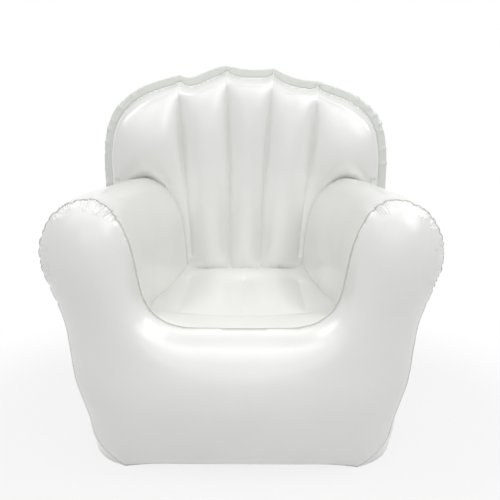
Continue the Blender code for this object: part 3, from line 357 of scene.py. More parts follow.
def upright(flat, y):
    """Points of a net of x and z at the given depths."""
    return np.stack([flat[:, 0], y, flat[:, 1]], axis=1)


def unit(vectors):
    """Vectors brought to length 1. Those that cancel out to nearly nothing stay short."""
    return vectors / np.maximum(np.linalg.norm(vectors, axis=-1, keepdims=True), 1e-9)


def rounded(share):
    """Quarter-round rise from 0 to 1, then level."""
    return 1.0 - (1.0 - np.clip(share, 0.0, 1.0)) ** 2


def eased(share):
    """Rise from 0 to 1 with level ends."""
    share = np.clip(share, 0.0, 1.0)
    return share**2 * (3.0 - 2.0 * share)


def upper(z):
    """Share of the way from the seat to the top of the back."""
    return np.clip((z - SEAT_HEIGHT) / (BACK_HEIGHT - SEAT_HEIGHT), 0.0, 1.0)


def drifted(line):
    """Moves a line of the back sideways towards its top, and gives each point's share of the width."""
    reach = line[:, 0] / BACK_HALF_WIDTH
    line[:, 0] += BACK_TOP_DRIFT * upper(line[:, 1]) ** 1.5 * (1.0 - reach**2)
    return reach


def inside_outline(points, outline):
    x, y = points[:, 0][:, None], points[:, 1][:, None]
    ax, ay = outline[:, 0][None, :], outline[:, 1][None, :]
    bx, by = np.roll(ax, -1, axis=1), np.roll(ay, -1, axis=1)
    level = (ay > y) != (by > y)
    run = np.where(by == ay, 1.0, by - ay)
    return (level & (x < (bx - ax) * (y - ay) / run + ax)).sum(axis=1) % 2 == 1


def nearest(samples, points):
    """Index of the nearest sample to each point, and the distance to it."""
    tree = KDTree(len(samples))
    wide = np.zeros((len(samples), 3))
    wide[:, :samples.shape[1]] = samples
    for index, place in enumerate(wide):
        tree.insert(place, index)
    tree.balance()
    places = np.zeros((len(points), 3))
    places[:, :points.shape[1]] = points
    found = [tree.find(place) for place in places]
    return np.array([item[1] for item in found]), np.array([item[2] for item in found])


def rows_beside(line, fine, outline):
    """Rows of net points along both sides of an inner line."""
    ahead = np.gradient(line, axis=0)
    square = np.stack([-ahead[:, 1], ahead[:, 0]], axis=1) / np.linalg.norm(ahead, axis=1)[:, None]
    rows = [line + square * fine * step for step in ROWS_BESIDE]
    rows = [row[inside_outline(row, outline)] for row in rows]
    return [row[nearest(outline, row)[1] > CLOSEST_SHARE * fine] for row in rows]


def fill_outline(outline, lines, fine, band):
    """Triangles inside an outline, twice as fine in a band beside it, with inner lines kept as edges."""
    beside = [row for line in lines for row in rows_beside(line, fine, outline)]
    fixed = np.concatenate([outline] + list(lines) + beside)
    low, high = outline.min(axis=0), outline.max(axis=0)
    row_step = fine * math.sqrt(3) / 2
    rows, marks = [], []
    for row in range(int((high[1] - low[1]) / row_step) + 1):
        xs = np.arange(low[0] + (row % 2) * fine / 2, high[0], fine)
        rows.append(np.stack([xs, np.full(len(xs), low[1] + (row + 0.5) * row_step)], axis=1))
        marks.append((row % 2 == 0) & ((np.arange(len(xs)) + row // 2) % 2 == 0))
    grid, coarse = np.concatenate(rows), np.concatenate(marks)
    inside = inside_outline(grid, outline)
    grid, coarse = grid[inside], coarse[inside]
    reach = nearest(fixed, grid)[1]
    grid = grid[(coarse | (reach < band)) & (reach > CLOSEST_SHARE * fine)]
    edges = []
    start = len(outline)
    for line in lines:
        edges += [(start + step, start + step + 1) for step in range(len(line) - 1)]
        start += len(line)
    border = list(range(len(outline)))
    points = [Vector(point) for point in np.concatenate([fixed, grid])]
    result = delaunay_2d_cdt(points, edges, [border], 1, fine * 1e-6)
    flat = np.array([tuple(point) for point in result[0]])
    triangles = np.array([list(face) for face in result[2]])
    home = {}
    for new, old in enumerate(result[3]):
        for index in old:
            home.setdefault(index, new)
    return flat, triangles, [home[index] for index in border]


def membrane(flat, triangles, held, levels, load):
    """Heights of a stretched sheet under pressure that is held at some of its points."""
    ends, weights, areas = [], [], []
    for a, b, c in ((0, 1, 2), (1, 2, 0), (2, 0, 1)):
        first = flat[triangles[:, b]] - flat[triangles[:, a]]
        second = flat[triangles[:, c]] - flat[triangles[:, a]]
        cross = np.abs(first[:, 0] * second[:, 1] - first[:, 1] * second[:, 0])
        weights.append(0.5 * (first * second).sum(axis=1) / np.maximum(cross, 1e-14))
        ends.append(triangles[:, [b, c]])
        areas.append(cross / 2)
    ends, weights = np.concatenate(ends), np.concatenate(weights)
    count = len(flat)

    def gathered(values, sign):
        return (np.bincount(ends[:, 0], weights=values, minlength=count)
                + sign * np.bincount(ends[:, 1], weights=values, minlength=count))

    def pull(values):
        return gathered(weights * (values[ends[:, 0]] - values[ends[:, 1]]), -1.0)

    shares = np.bincount(triangles.ravel(), weights=np.repeat(areas[0] / 3, 3), minlength=count)
    diagonal = np.maximum(gathered(weights, 1.0), 1e-6)
    heights = np.zeros(count)
    heights[held] = levels
    free = np.ones(count, dtype=bool)
    free[held] = False
    rest = (load * shares - pull(heights)) * free
    scaled = rest / diagonal
    step = scaled.copy()
    size = float(rest @ scaled)
    goal = size * MEMBRANE_TOLERANCE
    for _ in range(MEMBRANE_STEPS):
        if size <= goal:
            break
        answer = pull(step) * free
        reach = size / float(step @ answer)
        heights = heights + reach * step
        rest = rest - reach * answer
        scaled = rest / diagonal
        new_size = float(rest @ scaled)
        step = scaled + step * (new_size / size)
        size = new_size
    return heights


class Seams:
    """The seam curves that neighbouring sheets share, as fine rows of points."""

    def __init__(self, cell):
        ear_y = plan(*FLOOR_SIDE_SHARES[0])[1]
        tuck = height(ARM_FRONT_SHARES[3][1])
        front, rear = [], []
        for x, share in ARM_FRONT_SHARES:
            z = height(share)
            pull = max(1.0 - z / tuck, 0.0) ** 2
            front.append((x * HALF_WIDTH, FRONT_Y + (ear_y - FRONT_Y) * pull, max(z, FLOOR_SEAM_Z)))
        for x, share in ARM_REAR_SHARES:
            z = max(height(share), FLOOR_SEAM_Z)
            rear.append((x * HALF_WIDTH, rest_plane(z), z))
        floor = [(*plan(x, y), FLOOR_SEAM_Z) for x, y in FLOOR_SIDE_SHARES]
        floor[-1] = rear[0]
        seat = [(*plan(x, y), height(z)) for x, y, z in SEAT_SIDE_SHARES]
        seat[-1] = rear[-1]
        self.girth = steps_for(np.array(front), cell)
        self.along = depth_rows(cell)
        self.arm_front = smooth_curve(front, self.girth)
        self.arm_rear = smooth_curve(rear, self.girth)
        self.arm_rear[:, 1] = rest_plane(self.arm_rear[:, 2])
        self.floor_side = at_shares(smooth_curve(floor, DENSE_STEPS), self.along)
        self.floor_side[:, 2] = FLOOR_SEAM_Z
        self.seat_side = at_shares(smooth_curve(seat, DENSE_STEPS), self.along)
        self.floor_front = smoothed([(*plan(x, y), FLOOR_SEAM_Z) for x, y in FLOOR_FRONT_SHARES], cell)
        self.floor_rear = stepped([mirrored(self.arm_rear[0]), self.arm_rear[0]], cell)
        self.seat_front = self.seat_edge(SEAT_FRONT_SHARES, False, cell)
        self.seat_rear = self.seat_edge(SEAT_REAR_SHARES, True, cell)
        self.back = self.back_outline(cell)
        self.grooves = self.back_grooves(cell)

    def seat_edge(self, shares, leaning, cell):
        right = [(x * HALF_WIDTH, height(z)) for x, z in shares]
        across = [(-x, z) for x, z in right] + right[-2::-1]
        curve = smoothed([(x, rest_plane(z) if leaning else FRONT_Y, z) for x, z in across], cell)
        curve[:, 1] = rest_plane(curve[:, 2]) if leaning else FRONT_Y
        return curve

    def back_outline(self, cell):
        """Closed outline of the back as x and z, anticlockwise from the middle of its foot."""
        rise = BACK_HEIGHT - BACK_FOOT
        side, top = ([(x * BACK_HALF_WIDTH, BACK_FOOT + z * rise) for x, z in shares]
                     for shares in (BACK_SIDE_SHARES, BACK_TOP_SHARES))
        side = smoothed(side, cell)
        top = np.array(top)
        arch = smooth_curve(np.concatenate([top, mirrored(top[-2::-1])]), 2 * DENSE_STEPS)
        tips = [shares[-1][0] * BACK_HALF_WIDTH for shares in (OUTER_GROOVE_SHARES, INNER_GROOVE_SHARES)]
        tips += [-x for x in reversed(tips)]
        pieces = [side]
        for start, end, (skew, depth) in zip(tips[:-1], tips[1:], SCALLOPS):
            inside = arch[(arch[:, 0] < start) & (arch[:, 0] > end)]
            ends = [(x, np.interp(-x, -arch[:, 0], arch[:, 1])) for x in (start, end)]
            lobe = stepped(np.concatenate([[ends[0]], inside, [ends[1]]]), cell)
            share = np.linspace(0.0, 1.0, len(lobe))
            lobe[:, 1] -= depth * np.sin(math.pi * share**skew)
            pieces.append(lobe[1:])
        pieces.append(mirrored(side)[-2:0:-1])
        outline = np.concatenate(pieces)
        reach = drifted(outline)
        outline[:, 1] -= BACK_SHOULDER_TILT * reach * (1.5 - reach**2) * upper(outline[:, 1])
        return outline

    def back_grooves(self, cell):
        """The four weld lines of the back as x and z, each from its top down."""
        arch = np.array(BACK_TOP_SHARES[::-1])
        lines = []
        for shares in (OUTER_GROOVE_SHARES, INNER_GROOVE_SHARES):
            top = BACK_FOOT + np.interp(shares[-1][0], arch[:, 0], arch[:, 1]) * (BACK_HEIGHT - BACK_FOOT)
            span = top - GROOVE_TIP - SEAT_HEIGHT
            line = smoothed([(x * BACK_HALF_WIDTH, SEAT_HEIGHT + z * span) for x, z in shares], cell)[::-1]
            lines += [line, mirrored(line)]
        for line in lines:
            drifted(line)
        return sorted(lines, key=lambda line: line[0, 0])


def depth_rows(cell):
    """Shares from the front seam to the rear one, finer beside the front seam."""
    band = sizes().fine_band
    near = np.arange(0.0, band, cell) / SEAM_DEPTH
    count = round((SEAM_DEPTH - band) / (2 * cell))
    return np.concatenate([near[:-1], np.linspace(near[-1], 1.0, count + 1)])


# Sheets

class Sheet:
    """One welded sheet of a chamber: its outer face and its border."""

    def __init__(self, name, points, triangles, loop, outward, border=None):
        self.name = name
        self.points = np.array(points, dtype=float)
        self.triangles = np.asarray(triangles)
        self.loop = np.asarray(loop)
        if border is not None:
            self.points[self.loop] = border
        if float((self.normals() * outward).sum()) < 0.0:
            self.triangles = self.triangles[:, ::-1]

    def normals(self):
        corners = self.points[self.triangles]
        flat = np.cross(corners[:, 1] - corners[:, 0], corners[:, 2] - corners[:, 0])
        total = np.zeros_like(self.points)
        for corner in range(3):
            np.add.at(total, self.triangles[:, corner], flat)
        return unit(total)

    def edge(self):
        """The sheet's border as a closed line for a weld bead."""
        return self.points[self.loop], True


def loop_of(bottom, side, top):
    """Closed border of a sheet from its lower edge, its right side and its upper edge."""
    return np.concatenate([bottom, side[1:], top[-2::-1], mirrored(side)[-2:0:-1]])


def front_sheet(seams, cells):
    border = loop_of(seams.floor_front, seams.arm_front, seams.seat_front)
    flat, triangles, loop = fill_outline(border[:, [0, 2]], [], *cells)
    seam_y = membrane(flat, triangles, loop, border[:, 1], 0.0)
    swell = membrane(flat, triangles, loop, np.zeros(len(loop)), 1.0)
    swell = FRONT_CROWN * (np.maximum(swell, 0.0) / swell.max()) ** FRONT_FULLNESS
    swell *= 1.0 + ARM_FRONT_LIFT * eased((flat[:, 1] - SEAT_HEIGHT + LIFT_BELOW_SEAT) / LIFT_RUN)
    return Sheet("front_sheet", upright(flat, seam_y - swell), triangles, loop, FORWARD, border)


def arm_grid(seams):
    """Right arm: a smooth patch between its four seams, swollen between them."""
    across = np.linspace(0.0, 1.0, seams.girth + 1)
    v = seams.along[None, :, None]
    patch = seams.arm_front[:, None] * (1 - v) + seams.arm_rear[:, None] * v
    near_floor = 1.0 - rounded(across / FLOOR_BLEND_SHARE)[:, None, None]
    near_seat = 1.0 - rounded((1.0 - across) / SEAT_BLEND_SHARE)[:, None, None]
    patch = (patch + near_floor * (seams.floor_side - patch[0])[None]
             + near_seat * (seams.seat_side - patch[-1])[None])
    out = unit(np.cross(np.gradient(patch, axis=1), np.gradient(patch, axis=0)))
    depth = SEAM_DEPTH * seams.along
    roll = rounded(depth / ARM_ROLL) * rounded((SEAM_DEPTH - depth) / (2 * ARM_ROLL))
    ends = rounded(across / ARM_FOOT_SHARE) * rounded((1 - across) / ARM_INSIDE_SHARE)
    return patch + out * (ARM_CROWN * ends[:, None] * roll[None, :])[:, :, None]


def around(index):
    """The border of a grid of indices, once round."""
    return np.concatenate([index[:, 0], index[-1, 1:], index[-2::-1, -1], index[0, -2:0:-1]])


def arm_sheet(seams, name, side):
    """An arm sheet: side is 1 for the right arm and -1 for the left one."""
    grid = arm_grid(seams)
    rows, columns = grid.shape[:2]
    points = grid.reshape(-1, 3)
    index = np.arange(rows * columns).reshape(rows, columns)
    a, b = index[:-1, :-1].ravel(), index[:-1, 1:].ravel()
    c, d = index[1:, 1:].ravel(), index[1:, :-1].ravel()
    triangles = np.concatenate([np.stack([a, b, c], axis=1), np.stack([a, c, d], axis=1)])
    loop = around(index)
    points[loop] = np.concatenate([seams.arm_front, seams.seat_side[1:], seams.arm_rear[-2::-1],
                                   seams.floor_side[-2:0:-1]])
    if side < 0:
        points = mirrored(points)
    core = (side * ARM_CORE_SHARE * HALF_WIDTH, 0.0, 0.0)
    outward = (points - core) * (1.0, 0.0, 0.0) * (points[:, 2:3] < SEAT_HEIGHT)
    return Sheet(name, points, triangles, loop, outward)


def seat_lines(cell):
    """The seat's weld lines as x and y."""
    lines = {name: stepped([plan(*rear), plan(*front)], cell)
             for name, (rear, front) in SEAT_WELD_SHARES.items()}
    lines["cross"] = smoothed([plan(x, y) for x, y in SEAT_CROSS_SHARES], cell)
    return lines


def seat_sheet(seams, cells):
    """The seat sheet, and the points of it along each of its weld lines."""
    border = loop_of(seams.seat_front, seams.seat_side, seams.seat_rear)
    lines = seat_lines(cells[0])
    flat, triangles, loop = fill_outline(border[:, :2], list(lines.values()), *cells)
    level = membrane(flat, triangles, loop, border[:, 2], 0.0)
    on_lines = np.flatnonzero(nearest(np.concatenate(list(lines.values())), flat)[1] < GAP)
    held = np.concatenate([loop, on_lines])
    free = membrane(flat, triangles, loop, np.zeros(len(loop)), 1.0)
    free = free / free.max()
    levels = np.concatenate([np.zeros(len(loop)), free[on_lines] * SEAT_CROWN - SEAT_WELD_SINK])
    rise = level + membrane(flat, triangles, held, levels, 8 * SEAT_CROWN / SEAT_LOBE_WIDTH**2)
    sheet = Sheet("seat_sheet", np.column_stack([flat, rise]), triangles, loop, UPWARD, border)
    return sheet, {name: nearest(sheet.points[:, :2], line)[0] for name, line in lines.items()}


def base_sheet(seams, cells):
    border = loop_of(seams.floor_front, seams.floor_side, seams.floor_rear)
    flat, triangles, loop = fill_outline(border[:, :2], [], cells[0], 0.0)
    points = np.column_stack([flat, np.zeros(len(flat))])
    return Sheet("base_sheet", points, triangles, loop, DOWNWARD, border)


def base_rear_sheet(seams, cells):
    border = loop_of(seams.floor_rear, seams.arm_rear, seams.seat_rear)
    flat, triangles, loop = fill_outline(border[:, [0, 2]], [], cells[0], 0.0)
    points = upright(flat, rest_plane(flat[:, 1]))
    return Sheet("base_rear_sheet", points, triangles, loop, REARWARD, border)


def contact_outline(seams, cell):
    """Closed outline, as x and z, of the area where the back lies on the base chamber."""
    limit = CONTACT_HALF_WIDTH_SHARE * BACK_HALF_WIDTH
    foot = CONTACT_FOOT_SHARE * BACK_HEIGHT
    ring = seams.arm_rear[:, [0, 2]]
    ring = ring[(ring[:, 0] < limit) & (ring[:, 1] > foot)]
    shoulder = height(CONTACT_SHOULDER_SHARE)
    ring = ring[next(step for step in range(len(ring)) if ring[step, 1] > shoulder):]
    right = np.concatenate([stepped([(limit, foot), (limit, ring[0, 1] - 2 * cell)], cell), ring])
    left = mirrored(right)[::-1]
    base = stepped([left[-1], right[0]], cell)
    return np.concatenate([right, seams.seat_rear[-2:0:-1, [0, 2]], left[:-1], base[:-1]])


def to_outline(points, outline):
    """Distance from each point to the sides of a closed outline."""
    along = np.roll(outline, -1, axis=0) - outline
    pick = nearest(outline, points)[0]
    best = np.full(len(points), np.inf)
    for shift in (-1, 0):
        start = outline[(pick + shift) % len(outline)]
        run = along[(pick + shift) % len(outline)]
        offset = points - start
        share = np.clip((offset * run).sum(axis=1) / (run**2).sum(axis=1), 0.0, 1.0)
        best = np.minimum(best, np.linalg.norm(offset - share[:, None] * run, axis=1))
    return best


def groove_peaks(seams, flat):
    """How far each groove pulls the lobes up into the flat edge band."""
    reach = np.min([nearest(line, flat)[1] for line in seams.grooves], axis=0)
    return sizes().groove_peak * np.exp(-reach / GROOVE_PEAK_REACH)


def back_swell(seams, lines, cells, depth, crown, ring=None):
    """Net of one back sheet and its swell, held at its weld lines and flat inside a ring."""
    outline = seams.back
    flat, triangles, loop = fill_outline(outline, lines + ([] if ring is None else [ring]), *cells)
    reach = to_outline(flat, outline)
    held, levels = list(loop), [BACK_EDGE_DEPTH] * len(loop)
    for line in lines:
        rise = rounded(to_outline(line, outline) / GROOVE_RUN_IN)
        held += list(nearest(flat, line)[0])
        levels += list(GROOVE_TOP_DEPTH + (depth - GROOVE_TOP_DEPTH) * rise)
    if ring is not None:
        closed = ring[:-1]
        rest = np.flatnonzero(inside_outline(flat, closed) | (nearest(closed, flat)[1] < GAP))
        held += list(rest)
        levels += [BACK_FRONT_DEPTH - GAP] * len(rest)
    held = np.array(held)
    swell = membrane(flat, triangles, held, np.array(levels), 0.0)
    bulge = membrane(flat, triangles, held, np.zeros(len(held)), 2.0 / LOBE_HALF_WIDTH**2)
    sizing = sizes()
    top_end = 1.0 + LOBE_END_FULLNESS * np.exp(-np.clip(reach - sizing.edge_band, 0.0, None) / LOBE_END)
    swell += crown * np.clip(bulge, 0.0, None) ** LOBE_FULLNESS * top_end
    inner = reach + groove_peaks(seams, flat) - sizing.edge_band
    swell = swell * rounded(inner / sizing.edge_roll) ** EDGE_ROLL_POWER
    swell[loop] = 0.0
    return flat, triangles, loop, swell


def back_front_sheet(seams, cells):
    contact = contact_outline(seams, cells[0])
    depth = BACK_FRONT_DEPTH - GAP
    flat, triangles, loop, swell = back_swell(
        seams, seams.grooves, cells, depth, sizes().lobe_crown, np.concatenate([contact, contact[:1]]))
    beside = np.abs(flat[:, 0]) > contact[:, 0].max() - GAP
    beside &= flat[:, 1] < seams.arm_rear[:, 2].max()
    swell[beside] = np.minimum(swell[beside], depth)
    points = upright(flat, back_plane(flat[:, 1]) - swell)
    return Sheet("back_front_sheet", points, triangles, loop, FORWARD)


def weld_to_foot(line, cell):
    """A weld line of the back, carried straight down to its foot on the rear sheet."""
    return np.concatenate([line, stepped([line[-1], (line[-1, 0], BACK_WELD_FOOT)], cell)[1:]])


def back_rear_sheet(seams, cells):
    lines = [weld_to_foot(line, cells[0]) for line in seams.grooves]
    flat, triangles, loop, swell = back_swell(seams, lines, cells, BACK_REAR_WELD_DEPTH, sizes().rear_crown)
    points = upright(flat, back_plane(flat[:, 1]) + swell)
    return Sheet("back_rear_sheet", points, triangles, loop, REARWARD)


# Puckers: how strong they are at even shares along each seam, then their lengths in metres and shares

ARM_PUCKERS = [0.15, 0.5, 0.1, 0.05, 0.1, 0.1, 0.15, 0.5, 0.9, 1.0,
               1.0, 0.9, 0.8, 0.9, 0.7, 0.25, 0.1, 0.2, 0.3]
BACK_PUCKERS = [0.1, 0.1, 0.5, 0.2, 0.2, 0.3, 0.8, 0.8, 0.2, 0.2,
                0.2, 0.8, 0.8, 0.3, 0.2, 0.2, 0.5, 0.1, 0.1]
SEAT_PUCKERS = [0.0, 1.0, 0.9, 1.0, 0.9, 1.0, 0.0]
CLUSTER_PITCH = 0.018
CLUSTER_SPARE = 0.03
CLUSTER_CONTRAST = 1.7
CLUSTER_OFFSET = 0.35
CLUSTER_LIMITS = (0.1, 1.0)
LEAST_SHARE = 0.35
LEAST_STRENGTH = 0.05
FADE_POWER = 1.3
SPREAD_GROWTH = 1.2
SEAM_SHARE = 0.3
FOLD_REACH = 0.042
SIDE_FOLDS = 0.45


class Puckers:
    """Short creases that run from a seam into the sheets beside it."""

    def __init__(self, points, seed, pitch, weight, closed=False, scale=1.0, fine=1.0):
        sizing = sizes()
        rng = np.random.default_rng(seed)
        self.points = np.asarray(points)
        self.arc = arc_of(self.points)
        self.length = self.arc[-1]
        self.closed, self.seed, self.weight, self.fine = closed, seed, weight, fine
        self.reach = sizing.pucker_length * scale
        self.knots = np.arange(0.0, self.length + CLUSTER_SPARE, CLUSTER_PITCH)
        self.clusters = np.clip(CLUSTER_CONTRAST * rng.random(len(self.knots)) - CLUSTER_OFFSET,
                                *CLUSTER_LIMITS)
        self.items = []
        # Each pucker draws its depth, length, width and slant, and then the way to the next one
        place = pitch * rng.random()
        while place < self.length:
            strength = float(self.weight_at(place))
            if strength > LEAST_STRENGTH:
                deep = strength * (LEAST_SHARE + (1.0 - LEAST_SHARE) * rng.random() ** 1.5)
                far = self.reach * (LEAST_SHARE + (1.0 - LEAST_SHARE) * rng.random()) * (0.5 + 0.5 * strength)
                broad = 0.8 + 0.5 * rng.random()
                slant = 0.5 * (rng.random() - 0.5)
                self.items.append((place, sizing.pucker_depth * deep * scale**0.3, far,
                                   sizing.pucker_width * broad * scale**0.7, slant))
            place += pitch * (0.45 + 1.1 * rng.random()) / max(LEAST_SHARE, strength)

    def weight_at(self, arc):
        return np.interp(arc / self.length, np.linspace(0.0, 1.0, len(self.weight)), self.weight)

    def depth_at(self, arc, reach):
        """Depth of the deepest pucker at places along the seam and away from it."""
        total = np.zeros(len(arc))
        for place, depth, far, width, slant in self.items:
            off = arc - place - slant * reach
            if self.closed:
                off = (off + self.length / 2) % self.length - self.length / 2
            spread = width * (1.0 + SPREAD_GROWTH * reach / far)
            fade = np.clip(1.0 - reach / far, 0.0, 1.0) ** FADE_POWER
            total = np.maximum(total, depth * fade * np.exp(-(off / spread) ** 2))
        return total

    def seam_outward(self, sheets):
        """Mean outward direction of the sheets that meet at the seam."""
        total = np.zeros_like(self.points)
        for sheet in sheets:
            pick, reach = nearest(sheet.points[sheet.loop], self.points)
            close = reach < GAP
            total[close] += sheet.flat_normals[sheet.loop[pick[close]]]
        return unit(total)


def pucker_plan(seams, sheets):
    """The puckers of each seam, with the sheets that they run into."""
    back = upright(seams.back, back_plane(seams.back[:, 1]))
    back = np.concatenate([back, back[:1]])
    front, back_front = sheets["front_sheet"], sheets["back_front_sheet"]
    return [
        (Puckers(seams.arm_front, 11, 0.020, ARM_PUCKERS), [front, sheets["right_arm_sheet"]]),
        (Puckers(mirrored(seams.arm_front), 23, 0.020, ARM_PUCKERS), [front, sheets["left_arm_sheet"]]),
        (Puckers(back, 37, 0.030, BACK_PUCKERS, closed=True, scale=0.8, fine=0.3),
         [back_front, sheets["back_rear_sheet"]]),
        (Puckers(seams.seat_rear, 53, 0.045, SEAT_PUCKERS, fine=0.6), [back_front]),
    ]


def pucker_sheets(sheets, puckered):
    """Presses the puckers of each seam into the sheets beside it."""
    for sheet in sheets:
        sheet.flat_normals = sheet.normals()
        sheet.moves = np.zeros_like(sheet.points)
        sheet.arc = np.zeros(len(sheet.points))
        sheet.pucker = np.zeros(len(sheet.points))
    for puckers, members in puckered:
        seam_out = puckers.seam_outward(members)
        for sheet in members:
            pick, reach = nearest(puckers.points, sheet.points)
            arc = puckers.arc[pick]
            near = reach < puckers.reach
            share = np.clip(reach[near] / (SEAM_SHARE * puckers.reach), 0.0, 1.0)[:, None]
            way = unit(seam_out[pick[near]] * (1 - share) + sheet.flat_normals[near] * share)
            sheet.moves[near] -= way * puckers.depth_at(arc[near], reach[near])[:, None]
            strength = puckers.weight_at(arc) * np.interp(arc, puckers.knots, puckers.clusters)
            strength = strength * (1.0 if "front" in sheet.name else SIDE_FOLDS)
            fold = np.clip(1.0 - reach / (FOLD_REACH * (0.4 + 0.6 * strength)), 0.0, 1.0)
            fold = puckers.fine * strength * fold
            stronger = fold > sheet.pucker
            sheet.arc[stronger] = arc[stronger] + puckers.seed
            sheet.pucker[stronger] = fold[stronger]
    for sheet in sheets:
        sheet.points = sheet.points + sheet.moves


def measure_reach(sheets, front, seams):
    """Distance of each point to the nearest outer weld, for the materials."""
    for sheet in sheets:
        outer = sheet if sheet.name.startswith("back") else front
        border = outer.points[outer.loop]
        middle = (border + np.roll(border, -1, axis=0)) / 2
        sheet.reach = nearest(np.concatenate([border, middle]), sheet.points)[1]
        if sheet.name.startswith("back"):
            fade = np.clip(sheet.reach / GROOVE_PEAK_FADE, 0.0, 1.0)
            sheet.reach += groove_peaks(seams, sheet.points[:, [0, 2]]) * fade


# Objects

def link(name, data):
    item = bpy.data.objects.new(name, data)
    bpy.context.scene.collection.objects.link(item)
    return item


def link_mesh(name, points, faces, material):
    mesh = bpy.data.meshes.new(name)
    mesh.from_pydata([tuple(point) for point in points], [], [tuple(int(i) for i in face) for face in faces])
    mesh.materials.append(material)
    return link(name, mesh)


def reshape(mesh, change):
    """Changes a mesh by a function of its bmesh."""
    shape = bmesh.new()
    shape.from_mesh(mesh)
    change(shape)
    shape.to_mesh(mesh)
    shape.free()


def face_outwards(shape):
    bmesh.ops.recalc_face_normals(shape, faces=shape.faces)


def merge(shape):
    """Joins points that lie on each other."""
    bmesh.ops.remove_doubles(shape, verts=shape.verts, dist=1e-6)


def sheet_object(sheet, material, place=None):
    """The sheet's mesh with its wall, and a round hole for the valve at a place."""
    item = link_mesh(sheet.name, sheet.points, sheet.triangles, material)
    layers = {"seam_reach": sheet.reach, "seam_arc": sheet.arc, "seam_pucker": sheet.pucker}
    for label, values in layers.items():
        layer = item.data.attributes.new(label, "FLOAT", "POINT")
        layer.data.foreach_set("value", values.astype(np.float32))
    if place is not None:
        reshape(item.data, lambda shape: cut_hole(shape, place))
    item.data.shade_smooth()
    solid = item.modifiers.new("wall", "SOLIDIFY")
    solid.thickness = SHEET
    solid.offset = -1.0
    return item


def cut_hole(shape, place, sides=28, margin=0.012):
    """Cuts a round hole in a flat part of a sheet, square to a valve's axis."""
    centre, out = place.translation, place.col[2].to_3d()
    for step in range(sides):
        turn = 2 * math.pi * step / sides
        way = place.to_3x3() @ Vector((math.cos(turn), math.sin(turn), 0.0))
        near = [face for face in shape.faces
                if (face.calc_center_median() - centre).length < PANEL_HOLE + margin]
        near += list({edge for face in near for edge in face.edges})
        near += list({vert for face in near if isinstance(face, bmesh.types.BMFace) for vert in face.verts})
        bmesh.ops.bisect_plane(shape, geom=near, dist=1e-7, plane_co=centre + way * PANEL_HOLE, plane_no=way)
    inside = []
    for face in shape.faces:
        off = face.calc_center_median() - centre
        rise, away = abs(off.dot(out)), off.length
        off -= out * off.dot(out)
        if off.length < 0.9 * PANEL_HOLE and rise < FLANGE_RADIUS:
            inside.append(face)
        elif off.length < PANEL_HOLE and away < FLANGE_RADIUS:
            turn = math.pi / sides
            angle = math.atan2(off.dot(place.col[1].to_3d()), off.dot(place.col[0].to_3d())) % (2 * turn)
            if off.length * math.cos(min(angle, 2 * turn - angle)) < PANEL_HOLE:
                inside.append(face)
    bmesh.ops.delete(shape, geom=inside, context="FACES")
    loose = [vert for vert in shape.verts if not vert.link_faces]
    bmesh.ops.delete(shape, geom=loose, context="VERTS")


def flatten_pad(sheet, place):
    """Brings a sheet to a valve's plane under its flange, fading out beside it."""
    turn = np.array(place.to_3x3())
    local = (sheet.points - np.array(place.translation)) @ turn
    away = np.hypot(local[:, 0], local[:, 1])
    near = (away < PAD_RADIUS) & (np.abs(local[:, 2]) < PAD_DEPTH)
    local[near, 2] *= eased((away[near] - FLANGE_RADIUS - PAD_RIM) / PAD_FADE)
    sheet.points = local @ turn.T + np.array(place.translation)


# Node trees

def node_group(name, inputs, outputs, kind="ShaderNodeTree"):
    """A node group with named sockets, and its input and output nodes."""
    group = bpy.data.node_groups.new(name, kind)
    for label, socket, value in inputs:
        made = group.interface.new_socket(name=label, in_out="INPUT", socket_type="NodeSocket" + socket)
        if value is not None:
            made.default_value = value
    for label, socket in outputs:
        group.interface.new_socket(name=label, in_out="OUTPUT", socket_type="NodeSocket" + socket)
    return group, group.nodes.new("NodeGroupInput").outputs, group.nodes.new("NodeGroupOutput")


class Tree:
    """Adds nodes to a tree, each with its settings, values and links in one call."""

    def __init__(self, tree):
        self.nodes, self.links = tree.nodes, tree.links

    def fill(self, node, values):
        """Links the values that are sockets to a node's inputs, and sets the others."""
        for label, value in values.items():
            if isinstance(value, bpy.types.NodeSocket):
                self.links.new(value, node.inputs[label])
            else:
                node.inputs[label].default_value = value

    def add(self, kind, values=None, out=0, **settings):
        """A new node's output."""
        node = self.nodes.new(kind)
        for label, value in settings.items():
            setattr(node, label, value)
        self.fill(node, values or {})
        return node.outputs[out]

    def maths(self, operation, *values):
        return self.add("ShaderNodeMath", dict(enumerate(values)), operation=operation)

    def remap(self, value, low, high, to_low=0.0, to_high=1.0, blend="LINEAR"):
        return self.add("ShaderNodeMapRange", {"Value": value, "From Min": low, "From Max": high,
                                               "To Min": to_low, "To Max": to_high}, interpolation_type=blend)

    def mix(self, share, first, second):
        values = {"Factor": share, "A": first, "B": second}
        return self.add("ShaderNodeMix", values, "Result", data_type="RGBA")

    def mix_shaders(self, share, first, second):
        return self.add("ShaderNodeMixShader", {"Fac": share, 1: first, 2: second})

    def noise(self, vector, scale, detail):
        return self.add("ShaderNodeTexNoise", {"Vector": vector, "Scale": scale, "Detail": detail})

    def attribute(self, name):
        return self.add("ShaderNodeAttribute", out="Fac", attribute_name=name)

    def seen_directly(self):
        """1 for the rays that see the white studio: camera, glossy and transmission rays."""
        rays = self.add("ShaderNodeLightPath").node.outputs
        seen = self.maths("MAXIMUM", rays["Is Camera Ray"], rays["Is Glossy Ray"])
        return self.maths("MAXIMUM", seen, rays["Is Transmission Ray"])


